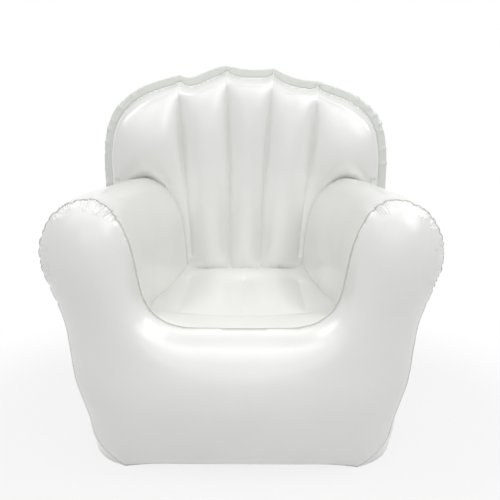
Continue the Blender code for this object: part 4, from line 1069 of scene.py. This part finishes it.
def pearl_film_group():
    """Colour, roughness and surface height of pearl vinyl film, with fine folds beside the seams and a
    painted shade band along the back's outer weld.
    """
    group, start, end = node_group(
        "pearl_film",
        [("Pearl", "Color", (0.92, 0.92, 0.905, 1.0)),
         ("Shade", "Color", (0.90, 0.905, 0.885, 1.0)),
         ("Seam", "Color", (0.90, 0.87, 0.81, 1.0)),
         # Band: painted shade along the back's outer weld
         ("Band", "Color", (0.76, 0.77, 0.72, 1.0)),
         ("Seam Width", "Float", 0.0007),
         ("Band Width", "Float", 0.0001),
         ("Cloud Scale", "Float", 6.0),
         ("Grain Scale", "Float", 900.0),
         ("Pucker Pitch", "Float", 0.006),
         ("Roughness", "Float", 0.34)],
        [("Color", "Color"), ("Roughness", "Float"), ("Height", "Float")])
    smear_scale, smear_range = 22.0, 0.04
    ripple_scale, grain_share = 30.0, 0.02
    fold_stretch, fold_height = 14.0, 38.0
    tree = Tree(group)
    place = tree.add("ShaderNodeTexCoord", out="Object")
    reach = tree.attribute("seam_reach")

    cloud = tree.remap(tree.noise(place, start["Cloud Scale"], 3.0), 0.35, 0.65)
    base = tree.mix(cloud, start["Shade"], start["Pearl"])
    # Painted shade: a darker colour laid over the band along the back's outer weld
    band = tree.remap(tree.maths("DIVIDE", reach, start["Band Width"]), 0.92, 1.08, 1.0, 0.0, "SMOOTHSTEP")
    banded = tree.mix(band, base, start["Band"])
    weld = tree.remap(tree.maths("DIVIDE", reach, start["Seam Width"]), 0.2, 1.6, 1.0, 0.0, "SMOOTHSTEP")

    smears = tree.remap(tree.noise(place, smear_scale, 4.0), 0.0, 1.0, -smear_range, smear_range)

    grain = tree.maths("MULTIPLY", tree.noise(place, start["Grain Scale"], 2.0), grain_share)
    ripple = tree.maths("ADD", grain, tree.noise(place, ripple_scale, 1.0))
    along = tree.maths("DIVIDE", tree.attribute("seam_arc"), start["Pucker Pitch"])
    across = tree.maths("MULTIPLY", reach, fold_stretch)
    beside = tree.add("ShaderNodeCombineXYZ", {"X": along, "Y": across})
    crease = tree.maths("ABSOLUTE", tree.maths("SUBTRACT", tree.noise(beside, 1.0, 1.0), 0.5))
    fold = tree.maths("MULTIPLY", crease, tree.attribute("seam_pucker"))

    tree.fill(end, {"Color": tree.mix(weld, banded, start["Seam"]),
                    "Roughness": tree.maths("ADD", smears, start["Roughness"]),
                    "Height": tree.maths("MULTIPLY_ADD", fold, fold_height, ripple)})
    return group


def film_material(name, group, colours, metallic, coat, bump, **values):
    """A vinyl material: colours are those of the pearl, its shade and the seam, bump is in metres."""
    material = bpy.data.materials.new(name)
    material.use_nodes = True
    tree = Tree(material.node_tree)
    inputs = dict(zip(("Pearl", "Shade", "Seam"), colours))
    inputs.update({label.replace("_", " ").title(): value for label, value in values.items()})
    film = tree.add("ShaderNodeGroup", node_tree=group).node
    tree.fill(film, inputs)
    film = film.outputs
    raised = tree.add("ShaderNodeBump", {"Distance": bump, "Strength": BUMP_STRENGTH,
                                         "Height": film["Height"]})
    tree.fill(tree.nodes["Principled BSDF"], {
        "Base Color": film["Color"], "Roughness": film["Roughness"], "Normal": raised, "Metallic": metallic,
        "IOR": VINYL_IOR, "Coat Weight": coat, "Coat Roughness": COAT_ROUGHNESS})
    return material


def weld_bead_tree():
    """Geometry Nodes: a bead with fine ticks along each edge line of its input."""
    group, start, end = node_group(
        "weld_bead",
        [("Geometry", "Geometry", None), ("Radius", "Float", 0.0008), ("Tick Pitch", "Float", 0.004),
         ("Tick Depth", "Float", 0.25), ("Material", "Material", None)],
        [("Geometry", "Geometry")], "GeometryNodeTree")
    group.is_modifier = True
    tree = Tree(group)
    curve = tree.add("GeometryNodeMeshToCurve", {"Mesh": start["Geometry"]})
    half = tree.maths("MULTIPLY", start["Tick Pitch"], 0.5)
    even = tree.add("GeometryNodeResampleCurve", {"Curve": curve, "Length": half}, mode="LENGTH")
    odd = tree.maths("MODULO", tree.add("GeometryNodeInputIndex"), 2.0)
    width = tree.maths("SUBTRACT", 1.0, tree.maths("MULTIPLY", odd, start["Tick Depth"]))
    ticked = tree.add("GeometryNodeSetCurveRadius", {"Curve": even, "Radius": width})
    profile = tree.add("GeometryNodeCurvePrimitiveCircle", {"Resolution": 8, "Radius": start["Radius"]})
    tube = tree.add("GeometryNodeCurveToMesh", {"Curve": ticked, "Profile Curve": profile, "Fill Caps": True,
                                                "Scale": tree.add("GeometryNodeInputRadius")})
    real = tree.add("GeometryNodeRealizeInstances", {"Geometry": tube})
    dressed = tree.add("GeometryNodeSetMaterial", {"Geometry": real, "Material": start["Material"]})
    tree.fill(end, {"Geometry": dressed})
    return group


def through_tree(name, source, tree, values):
    """Runs a Geometry Nodes tree on a mesh and keeps the result as a plain mesh object."""
    item = link(name + "_source", source)
    modifier = item.modifiers.new("tree", "NODES")
    modifier.node_group = tree
    for socket in tree.interface.items_tree:
        if socket.in_out == "INPUT" and socket.name in values:
            modifier[socket.identifier] = values[socket.name]
    depsgraph = bpy.context.evaluated_depsgraph_get()
    mesh = bpy.data.meshes.new_from_object(item.evaluated_get(depsgraph))
    bpy.data.objects.remove(item, do_unlink=True)
    mesh.name = name
    reshape(mesh, merge)
    reshape(mesh, face_outwards)
    mesh.shade_smooth()
    return link(name, mesh)


def line_mesh(name, curves):
    """Edge lines through rows of points, each open or closed."""
    points, edges = [], []
    for curve, closed in curves:
        start = len(points)
        points += [tuple(point) for point in curve]
        edges += [(start + step, start + step + 1) for step in range(len(curve) - 1)]
        if closed:
            edges.append((len(points) - 1, start))
    mesh = bpy.data.meshes.new(name)
    mesh.from_pydata(points, edges, [])
    return mesh


def keep(piece, body, *nodes, slot="pearl_vinyl", fill=None):
    """Attaches a piece to the body it rides on and hides the nodes it stands for. Its slot and fill are not
    used.
    """
    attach(piece, body)
    if nodes:
        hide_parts(*nodes)


class ARMCHAIR_OT_finishes(bpy.types.Operator):
    """Makes the vinyl, weld and valve materials"""
    bl_idname = "armchair.finishes"
    bl_label = "Finishes"

    def execute(self, context):
        values = finish_values()
        group = pearl_film_group()
        pearl = (values.pearl, values.shade, values.seam)
        # Painted shade: the back sheets get a darker copy of the pearl, and a darker band painted along their
        # outer weld
        painted_shade_pearl = [*(BACK_PAINTED_SHADE_SHARE * part for part in values.pearl[:3]), 1.0]
        back_pearl_painted_shade = (painted_shade_pearl, values.shade, values.seam)
        gloss = {"metallic": 0.30, "coat": 0.7, "bump": 0.0012, "roughness": 0.30}
        WORK["film"] = film_material("pearl_vinyl", group, pearl, **gloss)
        WORK["banded"] = film_material("pearl_vinyl_painted_shade", group, back_pearl_painted_shade,
                                       band=values.band, band_width=sizes().edge_band, **gloss)
        WORK["weld"] = film_material("weld_vinyl", group, (values.seam,) * 3,
                                     metallic=0.1, coat=0.3, bump=0.0006)
        WORK["web"] = film_material("baffle_vinyl", group, (values.web,) * 3,
                                    metallic=0.0, coat=0.1, bump=0.0006)
        WORK["valve"] = film_material("valve_vinyl", group, (values.valve,) * 3,
                                      metallic=0.0, coat=0.2, bump=0.0002, roughness=0.30)
        return {"FINISHED"}


class ARMCHAIR_OT_sheets(bpy.types.Operator):
    """Builds the welded sheets of both chambers with their puckers"""
    bl_idname = "armchair.sheets"
    bl_label = "Chamber Sheets"

    def execute(self, context):
        sizing = sizes()
        cells = (1.0 * sizing.fine_cell, sizing.fine_band)
        seams = Seams(cells[0])
        seat, seat_picks = seat_sheet(seams, cells)
        arms = [arm_sheet(seams, "left_arm_sheet", -1), arm_sheet(seams, "right_arm_sheet", 1)]
        others = (base_sheet, base_rear_sheet, back_front_sheet, back_rear_sheet)
        sheets = [front_sheet(seams, cells), *arms, seat, *(build(seams, cells) for build in others)]
        named = {sheet.name: sheet for sheet in sheets}
        pucker_sheets(sheets, pucker_plan(seams, named))
        places = valve_places()
        holes = {"right_arm_sheet": places["base_valve"], "back_rear_sheet": places["back_valve"]}
        for name, place in holes.items():
            flatten_pad(named[name], place)
        measure_reach(sheets, named["front_sheet"], seams)
        WORK.update(seams=seams, seat_picks=seat_picks, cells=cells, sheets=named, places=places)
        for sheet in sheets:
            # The back sheets take the material with painted shade on their pearl and edge band
            film = WORK["banded"] if sheet.name.startswith("back") else WORK["film"]
            item = sheet_object(sheet, film, holes.get(sheet.name))
            keep(item, "shell", sheet.name.replace("_sheet", "_panel"), fill=1.0)
        return {"FINISHED"}


def valve_places():
    """Frame of each valve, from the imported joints: Z out of the sheet, X level."""
    joints = {joint["name"]: joint for joint in frame["record"]["behaviour"]["joints"]}
    places = {}
    for name in ("base_valve", "back_valve"):
        hinge = joints[name + "_flap_hinge"]
        out = Vector(joints[name + "_slide"]["axis"]).normalized()
        up = Vector(hinge["axis"]).normalized()
        level = up.cross(out)
        turn = Matrix((level, up, out)).transposed().to_4x4()
        turn.translation = Vector(hinge["pos_m"]) + level * FLAP_RADIUS + out * FLAP_HINGE_DEPTH
        places[name] = turn
    return places


class ARMCHAIR_OT_welds(bpy.types.Operator):
    """Lays the weld beads along the seams"""
    bl_idname = "armchair.welds"
    bl_label = "Weld Beads"

    def execute(self, context):
        tree = weld_bead_tree()
        sheets = WORK["sheets"]
        front = sheets["back_front_sheet"].points
        grooves = [(front[nearest(front[:, [0, 2]], line)[0]], False) for line in WORK["seams"].grooves]
        # Beads as name, lines, share of the bead radius, finish and tick depth
        beads = (("front_weld", [sheets["front_sheet"].edge()], 1.5, "weld", TICK_DEPTH),
                 ("back_weld", [sheets["back_rear_sheet"].edge()], 0.6, "weld", TICK_DEPTH),
                 ("groove_welds", grooves, 1.0, "weld", TICK_DEPTH),
                 ("seat_weld", [sheets["seat_sheet"].edge()], 1.8, "film", SUNK_TICK_DEPTH),
                 ("base_rear_weld", [sheets["base_rear_sheet"].edge()], 1.8, "film", SUNK_TICK_DEPTH))
        for name, lines, width, finish, tick in beads:
            values = {"Radius": width * sizes().weld_radius, "Tick Pitch": TICK_PITCH, "Tick Depth": tick,
                      "Material": WORK[finish]}
            keep(through_tree(name, line_mesh(name, lines), tree, values), "shell")
        return {"FINISHED"}


def strip_object(name, first, second, side, rows=12):
    """A thin web between two lines of points, with its wall to both sides of them."""
    share = np.linspace(0.0, 1.0, rows)[None, :, None]
    face = first[:, None] * (1 - share) + second[:, None] * share
    half = np.array(side) * BAFFLE_SHEET / 2
    count = len(first)
    points = np.concatenate([(face - half).reshape(-1, 3), (face + half).reshape(-1, 3)])
    index = np.arange(count * rows).reshape(count, rows)
    quads = []
    for wall, start in ((index, 0), (index[::-1], count * rows)):
        corners = (wall[:-1, :-1], wall[1:, :-1], wall[1:, 1:], wall[:-1, 1:])
        quads += zip(*((corner + start).ravel() for corner in corners))
    border = around(index)
    after = np.roll(border, -1)
    quads += zip(after, border, border + count * rows, after + count * rows)
    item = link_mesh(name, points, quads, WORK["web"])
    reshape(item.data, face_outwards)
    item.data.shade_flat()
    return item


class ARMCHAIR_OT_baffles(bpy.types.Operator):
    """Hangs the inner webs between the weld lines"""
    bl_idname = "armchair.baffles"
    bl_label = "Baffles"

    def execute(self, context):
        sheets = WORK["sheets"]
        for name, picks in WORK["seat_picks"].items():
            across = name == "cross"
            node = "seat_cross_baffle" if across else "seat_baffle_" + name
            line = sheets["seat_sheet"].points[picks if across else picks[:-1]]
            foot = line * (1.0, 1.0, 0.0) + (0.0, 0.0, SHEET + GAP)
            side = (0.0, 1.0, 0.0) if across else (1.0, 0.0, 0.0)
            web = strip_object(node.replace("baffle", "web"), line - (0.0, 0.0, SHEET + 2 * GAP), foot, side)
            keep(web, "shell", node, slot="baffle_vinyl")
        front, rear = sheets["back_front_sheet"].points, sheets["back_rear_sheet"].points
        for number, groove in enumerate(WORK["seams"].grooves, start=1):
            line = weld_to_foot(groove, WORK["cells"][0])[1:]
            ahead, behind = (sheet[nearest(sheet[:, [0, 2]], line)[0]] for sheet in (front, rear))
            below = line[:, 1] < groove[-1, 1]
            ahead[below, 1] = rest_plane(line[below, 1]) + GAP
            ahead[:, [0, 2]], behind[:, [0, 2]] = line, line
            ahead[:, 1] += 2 * SHEET + GAP
            behind[:, 1] -= 2 * SHEET + GAP
            web = strip_object("back_web_%d" % number, ahead, behind, (1.0, 0.0, 0.0))
            keep(web, "shell", "back_baffle_%d" % number, slot="baffle_vinyl")
        return {"FINISHED"}


# Valves, in their own axes: +Z points out of the sheet, the plug's strap lies towards -X

def turned(profile, steps=72):
    """Closed ring turned about Z from a closed profile of radius and height."""
    shape = bmesh.new()
    corners = [shape.verts.new((radius, 0.0, z)) for radius, z in profile]
    edges = [shape.edges.new((corners[i - 1], corners[i])) for i in range(len(corners))]
    bmesh.ops.spin(shape, geom=corners + edges, cent=(0, 0, 0), axis=(0, 0, 1),
                   angle=2 * math.pi, steps=steps)
    merge(shape)
    return shape


def plate(shape, outline, low, high):
    """Adds a flat plate from an outline of x and y, between two heights."""
    corners = [shape.verts.new((x, y, low)) for x, y in outline]
    grown = bmesh.ops.extrude_face_region(shape, geom=[shape.faces.new(corners)])
    lifted = [item for item in grown["geom"] if isinstance(item, bmesh.types.BMVert)]
    bmesh.ops.translate(shape, verts=lifted, vec=(0, 0, high - low))


def tongue(start, end, half_start, half_end, round_end):
    """Outline of a strap along X, with its far end rounded."""
    side = 1.0 if end > start else -1.0
    points = [(start, -half_start), (end - side * round_end, -half_end)]
    points += [(end - side * round_end * (1.0 - math.sin(turn)), -half_end * math.cos(turn))
               for turn in np.linspace(0.0, math.pi, 13)[1:-1]]
    return points + [(end - side * round_end, half_end), (start, half_start)]


def valve_piece(name, shape, place, edge=0.00012):
    """Puts a valve part in its place, with its sharp edges rounded where it is stiff."""
    face_outwards(shape)
    shape.transform(place)
    mesh = bpy.data.meshes.new(name)
    shape.to_mesh(mesh)
    shape.free()
    item = link(name, mesh)
    mesh.materials.append(WORK["valve"])
    mesh.shade_smooth()
    mesh.set_sharp_from_angle(angle=math.radians(38.0))
    if edge:
        bevel = item.modifiers.new("edge", "BEVEL")
        bevel.width = edge
        bevel.segments = 2
        bevel.limit_method = "ANGLE"
        bevel.angle_limit = math.radians(50.0)
    return item


def flange_shape():
    """Weld flange: a flat ring with a sunk weld band and a lip round its bore."""
    top = GAP + FLANGE_THICKNESS
    weld_in, weld_out, slope, dip = 0.0138, 0.0160, 0.0002, 0.00025
    lip_foot, lip_edge, lip, edge, taper = 0.0121, 0.0119, 0.0003, 0.0004, 0.0005
    return turned([(FLANGE_BORE, GAP), (FLANGE_RADIUS, GAP), (FLANGE_RADIUS, GAP + edge),
                   (FLANGE_RADIUS - taper, top), (weld_out, top), (weld_out - slope, top - dip),
                   (weld_in + slope, top - dip), (weld_in, top), (lip_foot, top), (lip_edge, top + lip),
                   (FLANGE_BORE + edge, top + lip), (FLANGE_BORE, top)], FINE_TURN)


def boot_shape():
    """Soft sleeve from the flange down to the neck's foot, with shallow folds."""
    mouth, foot = FLANGE_BORE - GAP, NECK_FOOT_RADIUS + GAP
    top, low = GAP + FLANGE_THICKNESS, -NECK_DEPTH + NECK_FOOT
    fold_depth, folds = 0.00018, 9
    outer, inner = [], []
    for share in np.linspace(0.0, 1.0, 25):
        z = top + (low - top) * share
        fold = fold_depth * math.sin(share * math.pi * folds) * math.sin(share * math.pi)
        outer.append((mouth - BOOT_SHEET * share * 0.6 + fold, z))
        inner.append((mouth - BOOT_SHEET * (1.0 + 0.9 * share) + fold, z))
    floor = -NECK_DEPTH - BOOT_SHEET
    inner += [(foot, -NECK_DEPTH), (foot, floor), (mouth - BOOT_SHEET, floor)]
    return turned(inner + outer[::-1], FINE_TURN)


def neck_shape():
    """Stiff tube with a foot, four small ribs, a rim and the lug that holds the plug's strap."""
    tube, rim = NECK_BORE + NECK_WALL, NECK_FOOT_RADIUS
    foot_top, cut, edge, skin = -NECK_DEPTH + NECK_FOOT, 0.0004, 0.0003, 0.00005
    rib, rib_half, rib_top = tube + 0.00025, 0.0004, 0.0001
    outside = [(NECK_BORE + cut, -NECK_DEPTH), (rim, -NECK_DEPTH), (rim, foot_top), (tube, foot_top)]
    for z in (-0.0085, -0.0060, -0.0035, -0.0010):
        outside += [(tube, z - rib_half), (rib, z - rib_top), (rib, z + rib_top), (tube, z + rib_half)]
    outside += [(tube, NECK_RIM_BASE), (rim, NECK_RIM_BASE), (rim, RIM_TOP), (NECK_BORE + edge, RIM_TOP)]
    shape = turned(outside + [(NECK_BORE, RIM_TOP - edge), (NECK_BORE, -NECK_DEPTH + cut)])
    plate(shape, tongue(-rim + 0.0006, -LUG_REACH, LUG_WIDTH / 2, LUG_WIDTH / 2, 0.0016),
          NECK_RIM_BASE + skin, RIM_TOP - skin)
    return shape


def plug_shape():
    """Cap with its hollow peg, its strap towards -X, and a ribbed pull tab towards +X."""
    top, tip = CAP_BASE + CAP_THICKNESS, CAP_BASE - PLUG_LENGTH
    hollow = PLUG_ROOT_RADIUS - 0.0011
    edge, skin, inset = 0.0004, 0.00005, 0.0008
    shape = turned([
        (0.0, CAP_BASE - inset), (hollow - 0.0006, CAP_BASE - 0.0010), (hollow - 0.0010, tip),
        (PLUG_TIP_RADIUS, tip), (PLUG_TIP_RADIUS + 0.0003, tip + 0.0006),
        (PLUG_ROOT_RADIUS - 0.0003, CAP_BASE - 0.0016), (PLUG_ROOT_RADIUS, CAP_BASE - 0.0012),
        (PLUG_ROOT_RADIUS, CAP_BASE), (CAP_RADIUS, CAP_BASE), (CAP_RADIUS, top - edge),
        (CAP_RADIUS - edge, top), (0.0052, top), (0.0048, top - edge), (0.0020, top - 0.0002),
        (0.0, top - 0.00015)])
    strap_top = CAP_BASE + STRAP_THICKNESS
    inner = -CAP_RADIUS + inset
    plate(shape, tongue(inner, -HINGE_REACH - STRAP_OVERHANG, STRAP_WIDTH / 2, STRAP_WIDTH / 2, 0.0006),
          CAP_BASE + skin, strap_top - skin)
    plate(shape, tongue(-inner, TAB_REACH, TAB_WIDTH / 2 - 0.0002, TAB_WIDTH / 2, 0.0020),
          CAP_BASE + skin, strap_top - skin)
    rib_width, rib_half, rib_foot, rib_rise = 0.0004, 0.0018, 0.0001, 0.0003
    for reach in (0.0090, 0.0100, 0.0110):
        far = reach + rib_width
        plate(shape, [(reach, -rib_half), (far, -rib_half), (far, rib_half), (reach, rib_half)],
              strap_top - rib_foot, strap_top + rib_rise)
    return shape


def flap_shape():
    """Thin round flap under the neck, with a raised rim."""
    top, low = -NECK_DEPTH - GAP, -NECK_DEPTH - GAP - FLAP_SHEET
    edge, rim_in, rim_foot = 0.0001, 0.0045, 0.0043
    return turned([(0.0, low), (FLAP_RADIUS - edge, low), (FLAP_RADIUS, low + edge),
                   (FLAP_RADIUS, top - edge), (FLAP_RADIUS - edge, top), (rim_in, top),
                   (rim_foot, top - edge), (0.0, top - edge)])


class ARMCHAIR_OT_valves(bpy.types.Operator):
    """Builds both valves: ring, boot, neck, plug and flap"""
    bl_idname = "armchair.valves"
    bl_label = "Valves"

    def execute(self, context):
        for prefix, place in WORK["places"].items():
            ring = valve_piece(prefix + "_ring", flange_shape(), place)
            keep(ring, "shell", prefix + "_flange", slot="valve_vinyl")
            boot = valve_piece(prefix + "_bellows", boot_shape(), place, edge=0.0)
            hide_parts(prefix + "_boot")
            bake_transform(boot)
            for label, part, shape in (("_tube", "_neck", neck_shape()), ("_stopper", "_plug", plug_shape()),
                                       ("_film", "_flap", flap_shape())):
                node = prefix + part
                keep(valve_piece(prefix + label, shape, place), node, node, slot="valve_vinyl")
        return {"FINISHED"}


# Stage: strips as name, angle above the floor and power in watts, lamps as name, place, size and power

FLOOR_HALF = 6.0
FLOOR_Z = -0.001
LAMP_TARGET = (0.0, -0.3, 0.5)
STRIP_REACH = 2.2
STRIP_SIZE = (2.0, 0.35)
STRIPS = (("low_strip", 30.0, 1.2), ("front_strip", 50.0, 1.1),
          ("high_strip", 65.0, 2.6), ("rear_strip", 110.0, 2.2))
SIDE_LAMPS = (("right_strip", (1.414, -0.3, 2.185), (0.5, 1.2), 6.4),
              ("left_strip", (-1.414, -0.3, 2.185), (0.5, 1.2), 3.8),
              ("right_lamp", (1.5, -1.5, 2.1), (1.0, 1.0), 3.2),
              ("left_lamp", (-1.5, -1.5, 2.1), (1.0, 1.0), 1.0))
SOFTBOX_PLACE = (0.0, -0.8, 2.3)
SOFTBOX_TARGET = (0.0, -0.8, 0.0)
SOFTBOX_SIZE = (3.2, 3.3)
SOFTBOX_POWER = 5.4
SKY_STRENGTH = 0.86
CAMERA_PLACE = (0.041, -2.175, 0.97)
CAMERA_DOWN = 13.1
CAMERA_TURN = 0.62
CAMERA_LENS = 63.36


def studio_world():
    """A white studio to look at, and a soft sky that brightens upwards as light."""
    world = bpy.data.worlds.new("studio")
    world.use_nodes = True
    tree = Tree(world.node_tree)
    place = tree.add("ShaderNodeTexCoord", out="Generated")
    up = tree.add("ShaderNodeSeparateXYZ", {"Vector": place}, "Z")
    sky = tree.nodes["Background"]
    tree.fill(sky, {"Color": (1.0, 1.0, 0.98, 1.0), "Strength": tree.remap(up, 0.0, 1.0, 0.0, SKY_STRENGTH)})
    white = tree.add("ShaderNodeBackground", {"Color": (1.0, 1.0, 1.0, 1.0)})
    seen = tree.mix_shaders(tree.seen_directly(), sky.outputs[0], white)
    tree.fill(tree.nodes["World Output"], {"Surface": seen})
    return world


def floor_material():
    """Pale floor that keeps the chair's shadow and turns to plain white away from it."""
    material = bpy.data.materials.new("studio_floor")
    material.use_nodes = True
    tree = Tree(material.node_tree)
    place = tree.add("ShaderNodeTexCoord", out="Object")
    shader = tree.nodes["Principled BSDF"]
    grain = tree.add("ShaderNodeTexNoise", {"Vector": place, "Scale": 40.0})
    tree.fill(shader, {"Roughness": 0.9, "Base Color": tree.remap(grain, 0.0, 1.0, 0.72, 0.78)})
    glow = tree.add("ShaderNodeEmission", {"Strength": 1.0})
    away = tree.add("ShaderNodeVectorMath", {0: place}, "Value", operation="LENGTH")
    share = tree.remap(away, 0.6, 1.1, 0.8, 1.0, "SMOOTHSTEP")
    white = tree.maths("MULTIPLY", tree.seen_directly(), share)
    tree.fill(tree.nodes["Material Output"], {"Surface": tree.mix_shaders(white, shader.outputs[0], glow)})
    return material


def add_area(name, place, size, power, target=LAMP_TARGET):
    light = bpy.data.lights.new(name, "AREA")
    light.shape = "RECTANGLE"
    light.size, light.size_y = size
    light.energy = power
    item = link(name, light)
    item.location = place
    item.rotation_euler = (Vector(target) - Vector(place)).to_track_quat("-Z", "Y").to_euler()


def add_camera():
    camera = bpy.data.cameras.new("camera")
    camera.lens = CAMERA_LENS
    camera.sensor_width = 36.0
    view = link("camera", camera)
    view.location = CAMERA_PLACE
    view.rotation_euler = (math.radians(90.0 - CAMERA_DOWN), 0.0, math.radians(CAMERA_TURN))
    bpy.context.scene.camera = view


class ARMCHAIR_OT_stage(bpy.types.Operator):
    """Sets the floor, the lights and the camera"""
    bl_idname = "armchair.stage"
    bl_label = "Stage"

    def execute(self, context):
        scene = bpy.context.scene
        scene.view_settings.view_transform = "Standard"
        scene.world = studio_world()
        corners = [(x * FLOOR_HALF, y * FLOOR_HALF, FLOOR_Z) for x, y in ((-1, -1), (1, -1), (1, 1), (-1, 1))]
        link_mesh("floor", corners, [(0, 1, 2, 3)], floor_material())
        add_area("overhead_softbox", SOFTBOX_PLACE, SOFTBOX_SIZE, SOFTBOX_POWER, SOFTBOX_TARGET)
        for name, rise, power in STRIPS:
            ahead = STRIP_REACH * math.cos(math.radians(rise))
            above = STRIP_REACH * math.sin(math.radians(rise))
            add_area(name, (0.0, LAMP_TARGET[1] - ahead, LAMP_TARGET[2] + above), STRIP_SIZE, power)
        for lamp in SIDE_LAMPS:
            add_area(*lamp)
        add_camera()
        return {"FINISHED"}


class ARMCHAIR_PT_panel(bpy.types.Panel):
    """Lists the armchair's building steps"""
    bl_label = "Inflatable Armchair"
    bl_idname = "ARMCHAIR_PT_panel"
    bl_space_type = "VIEW_3D"
    bl_region_type = "UI"
    bl_category = "Armchair"

    def draw(self, context):
        for step in STEPS:
            self.layout.operator(step.bl_idname)
        for group in (context.scene.chair_sizes, context.scene.chair_finish):
            box = self.layout.box()
            for name in group.bl_rna.properties.keys():
                if name not in ("rna_type", "name"):
                    box.prop(group, name)


STEPS = (ARMCHAIR_OT_finishes, ARMCHAIR_OT_sheets, ARMCHAIR_OT_welds, ARMCHAIR_OT_baffles,
         ARMCHAIR_OT_valves, ARMCHAIR_OT_stage)
CLASSES = (ChairSizes, ChairFinish) + STEPS + (ARMCHAIR_PT_panel,)


def register():
    for item in CLASSES:
        bpy.utils.register_class(item)
    bpy.types.Scene.chair_sizes = bpy.props.PointerProperty(type=ChairSizes)
    bpy.types.Scene.chair_finish = bpy.props.PointerProperty(type=ChairFinish)


def unregister():
    del bpy.types.Scene.chair_finish
    del bpy.types.Scene.chair_sizes
    for item in reversed(CLASSES):
        bpy.utils.unregister_class(item)


def main():
    register()
    bpy.ops.armchair.finishes()
    bpy.ops.armchair.sheets()
    bpy.ops.armchair.welds()
    bpy.ops.armchair.baffles()
    bpy.ops.armchair.valves()
    bpy.ops.armchair.stage()


if __name__ == "__main__":
    main()
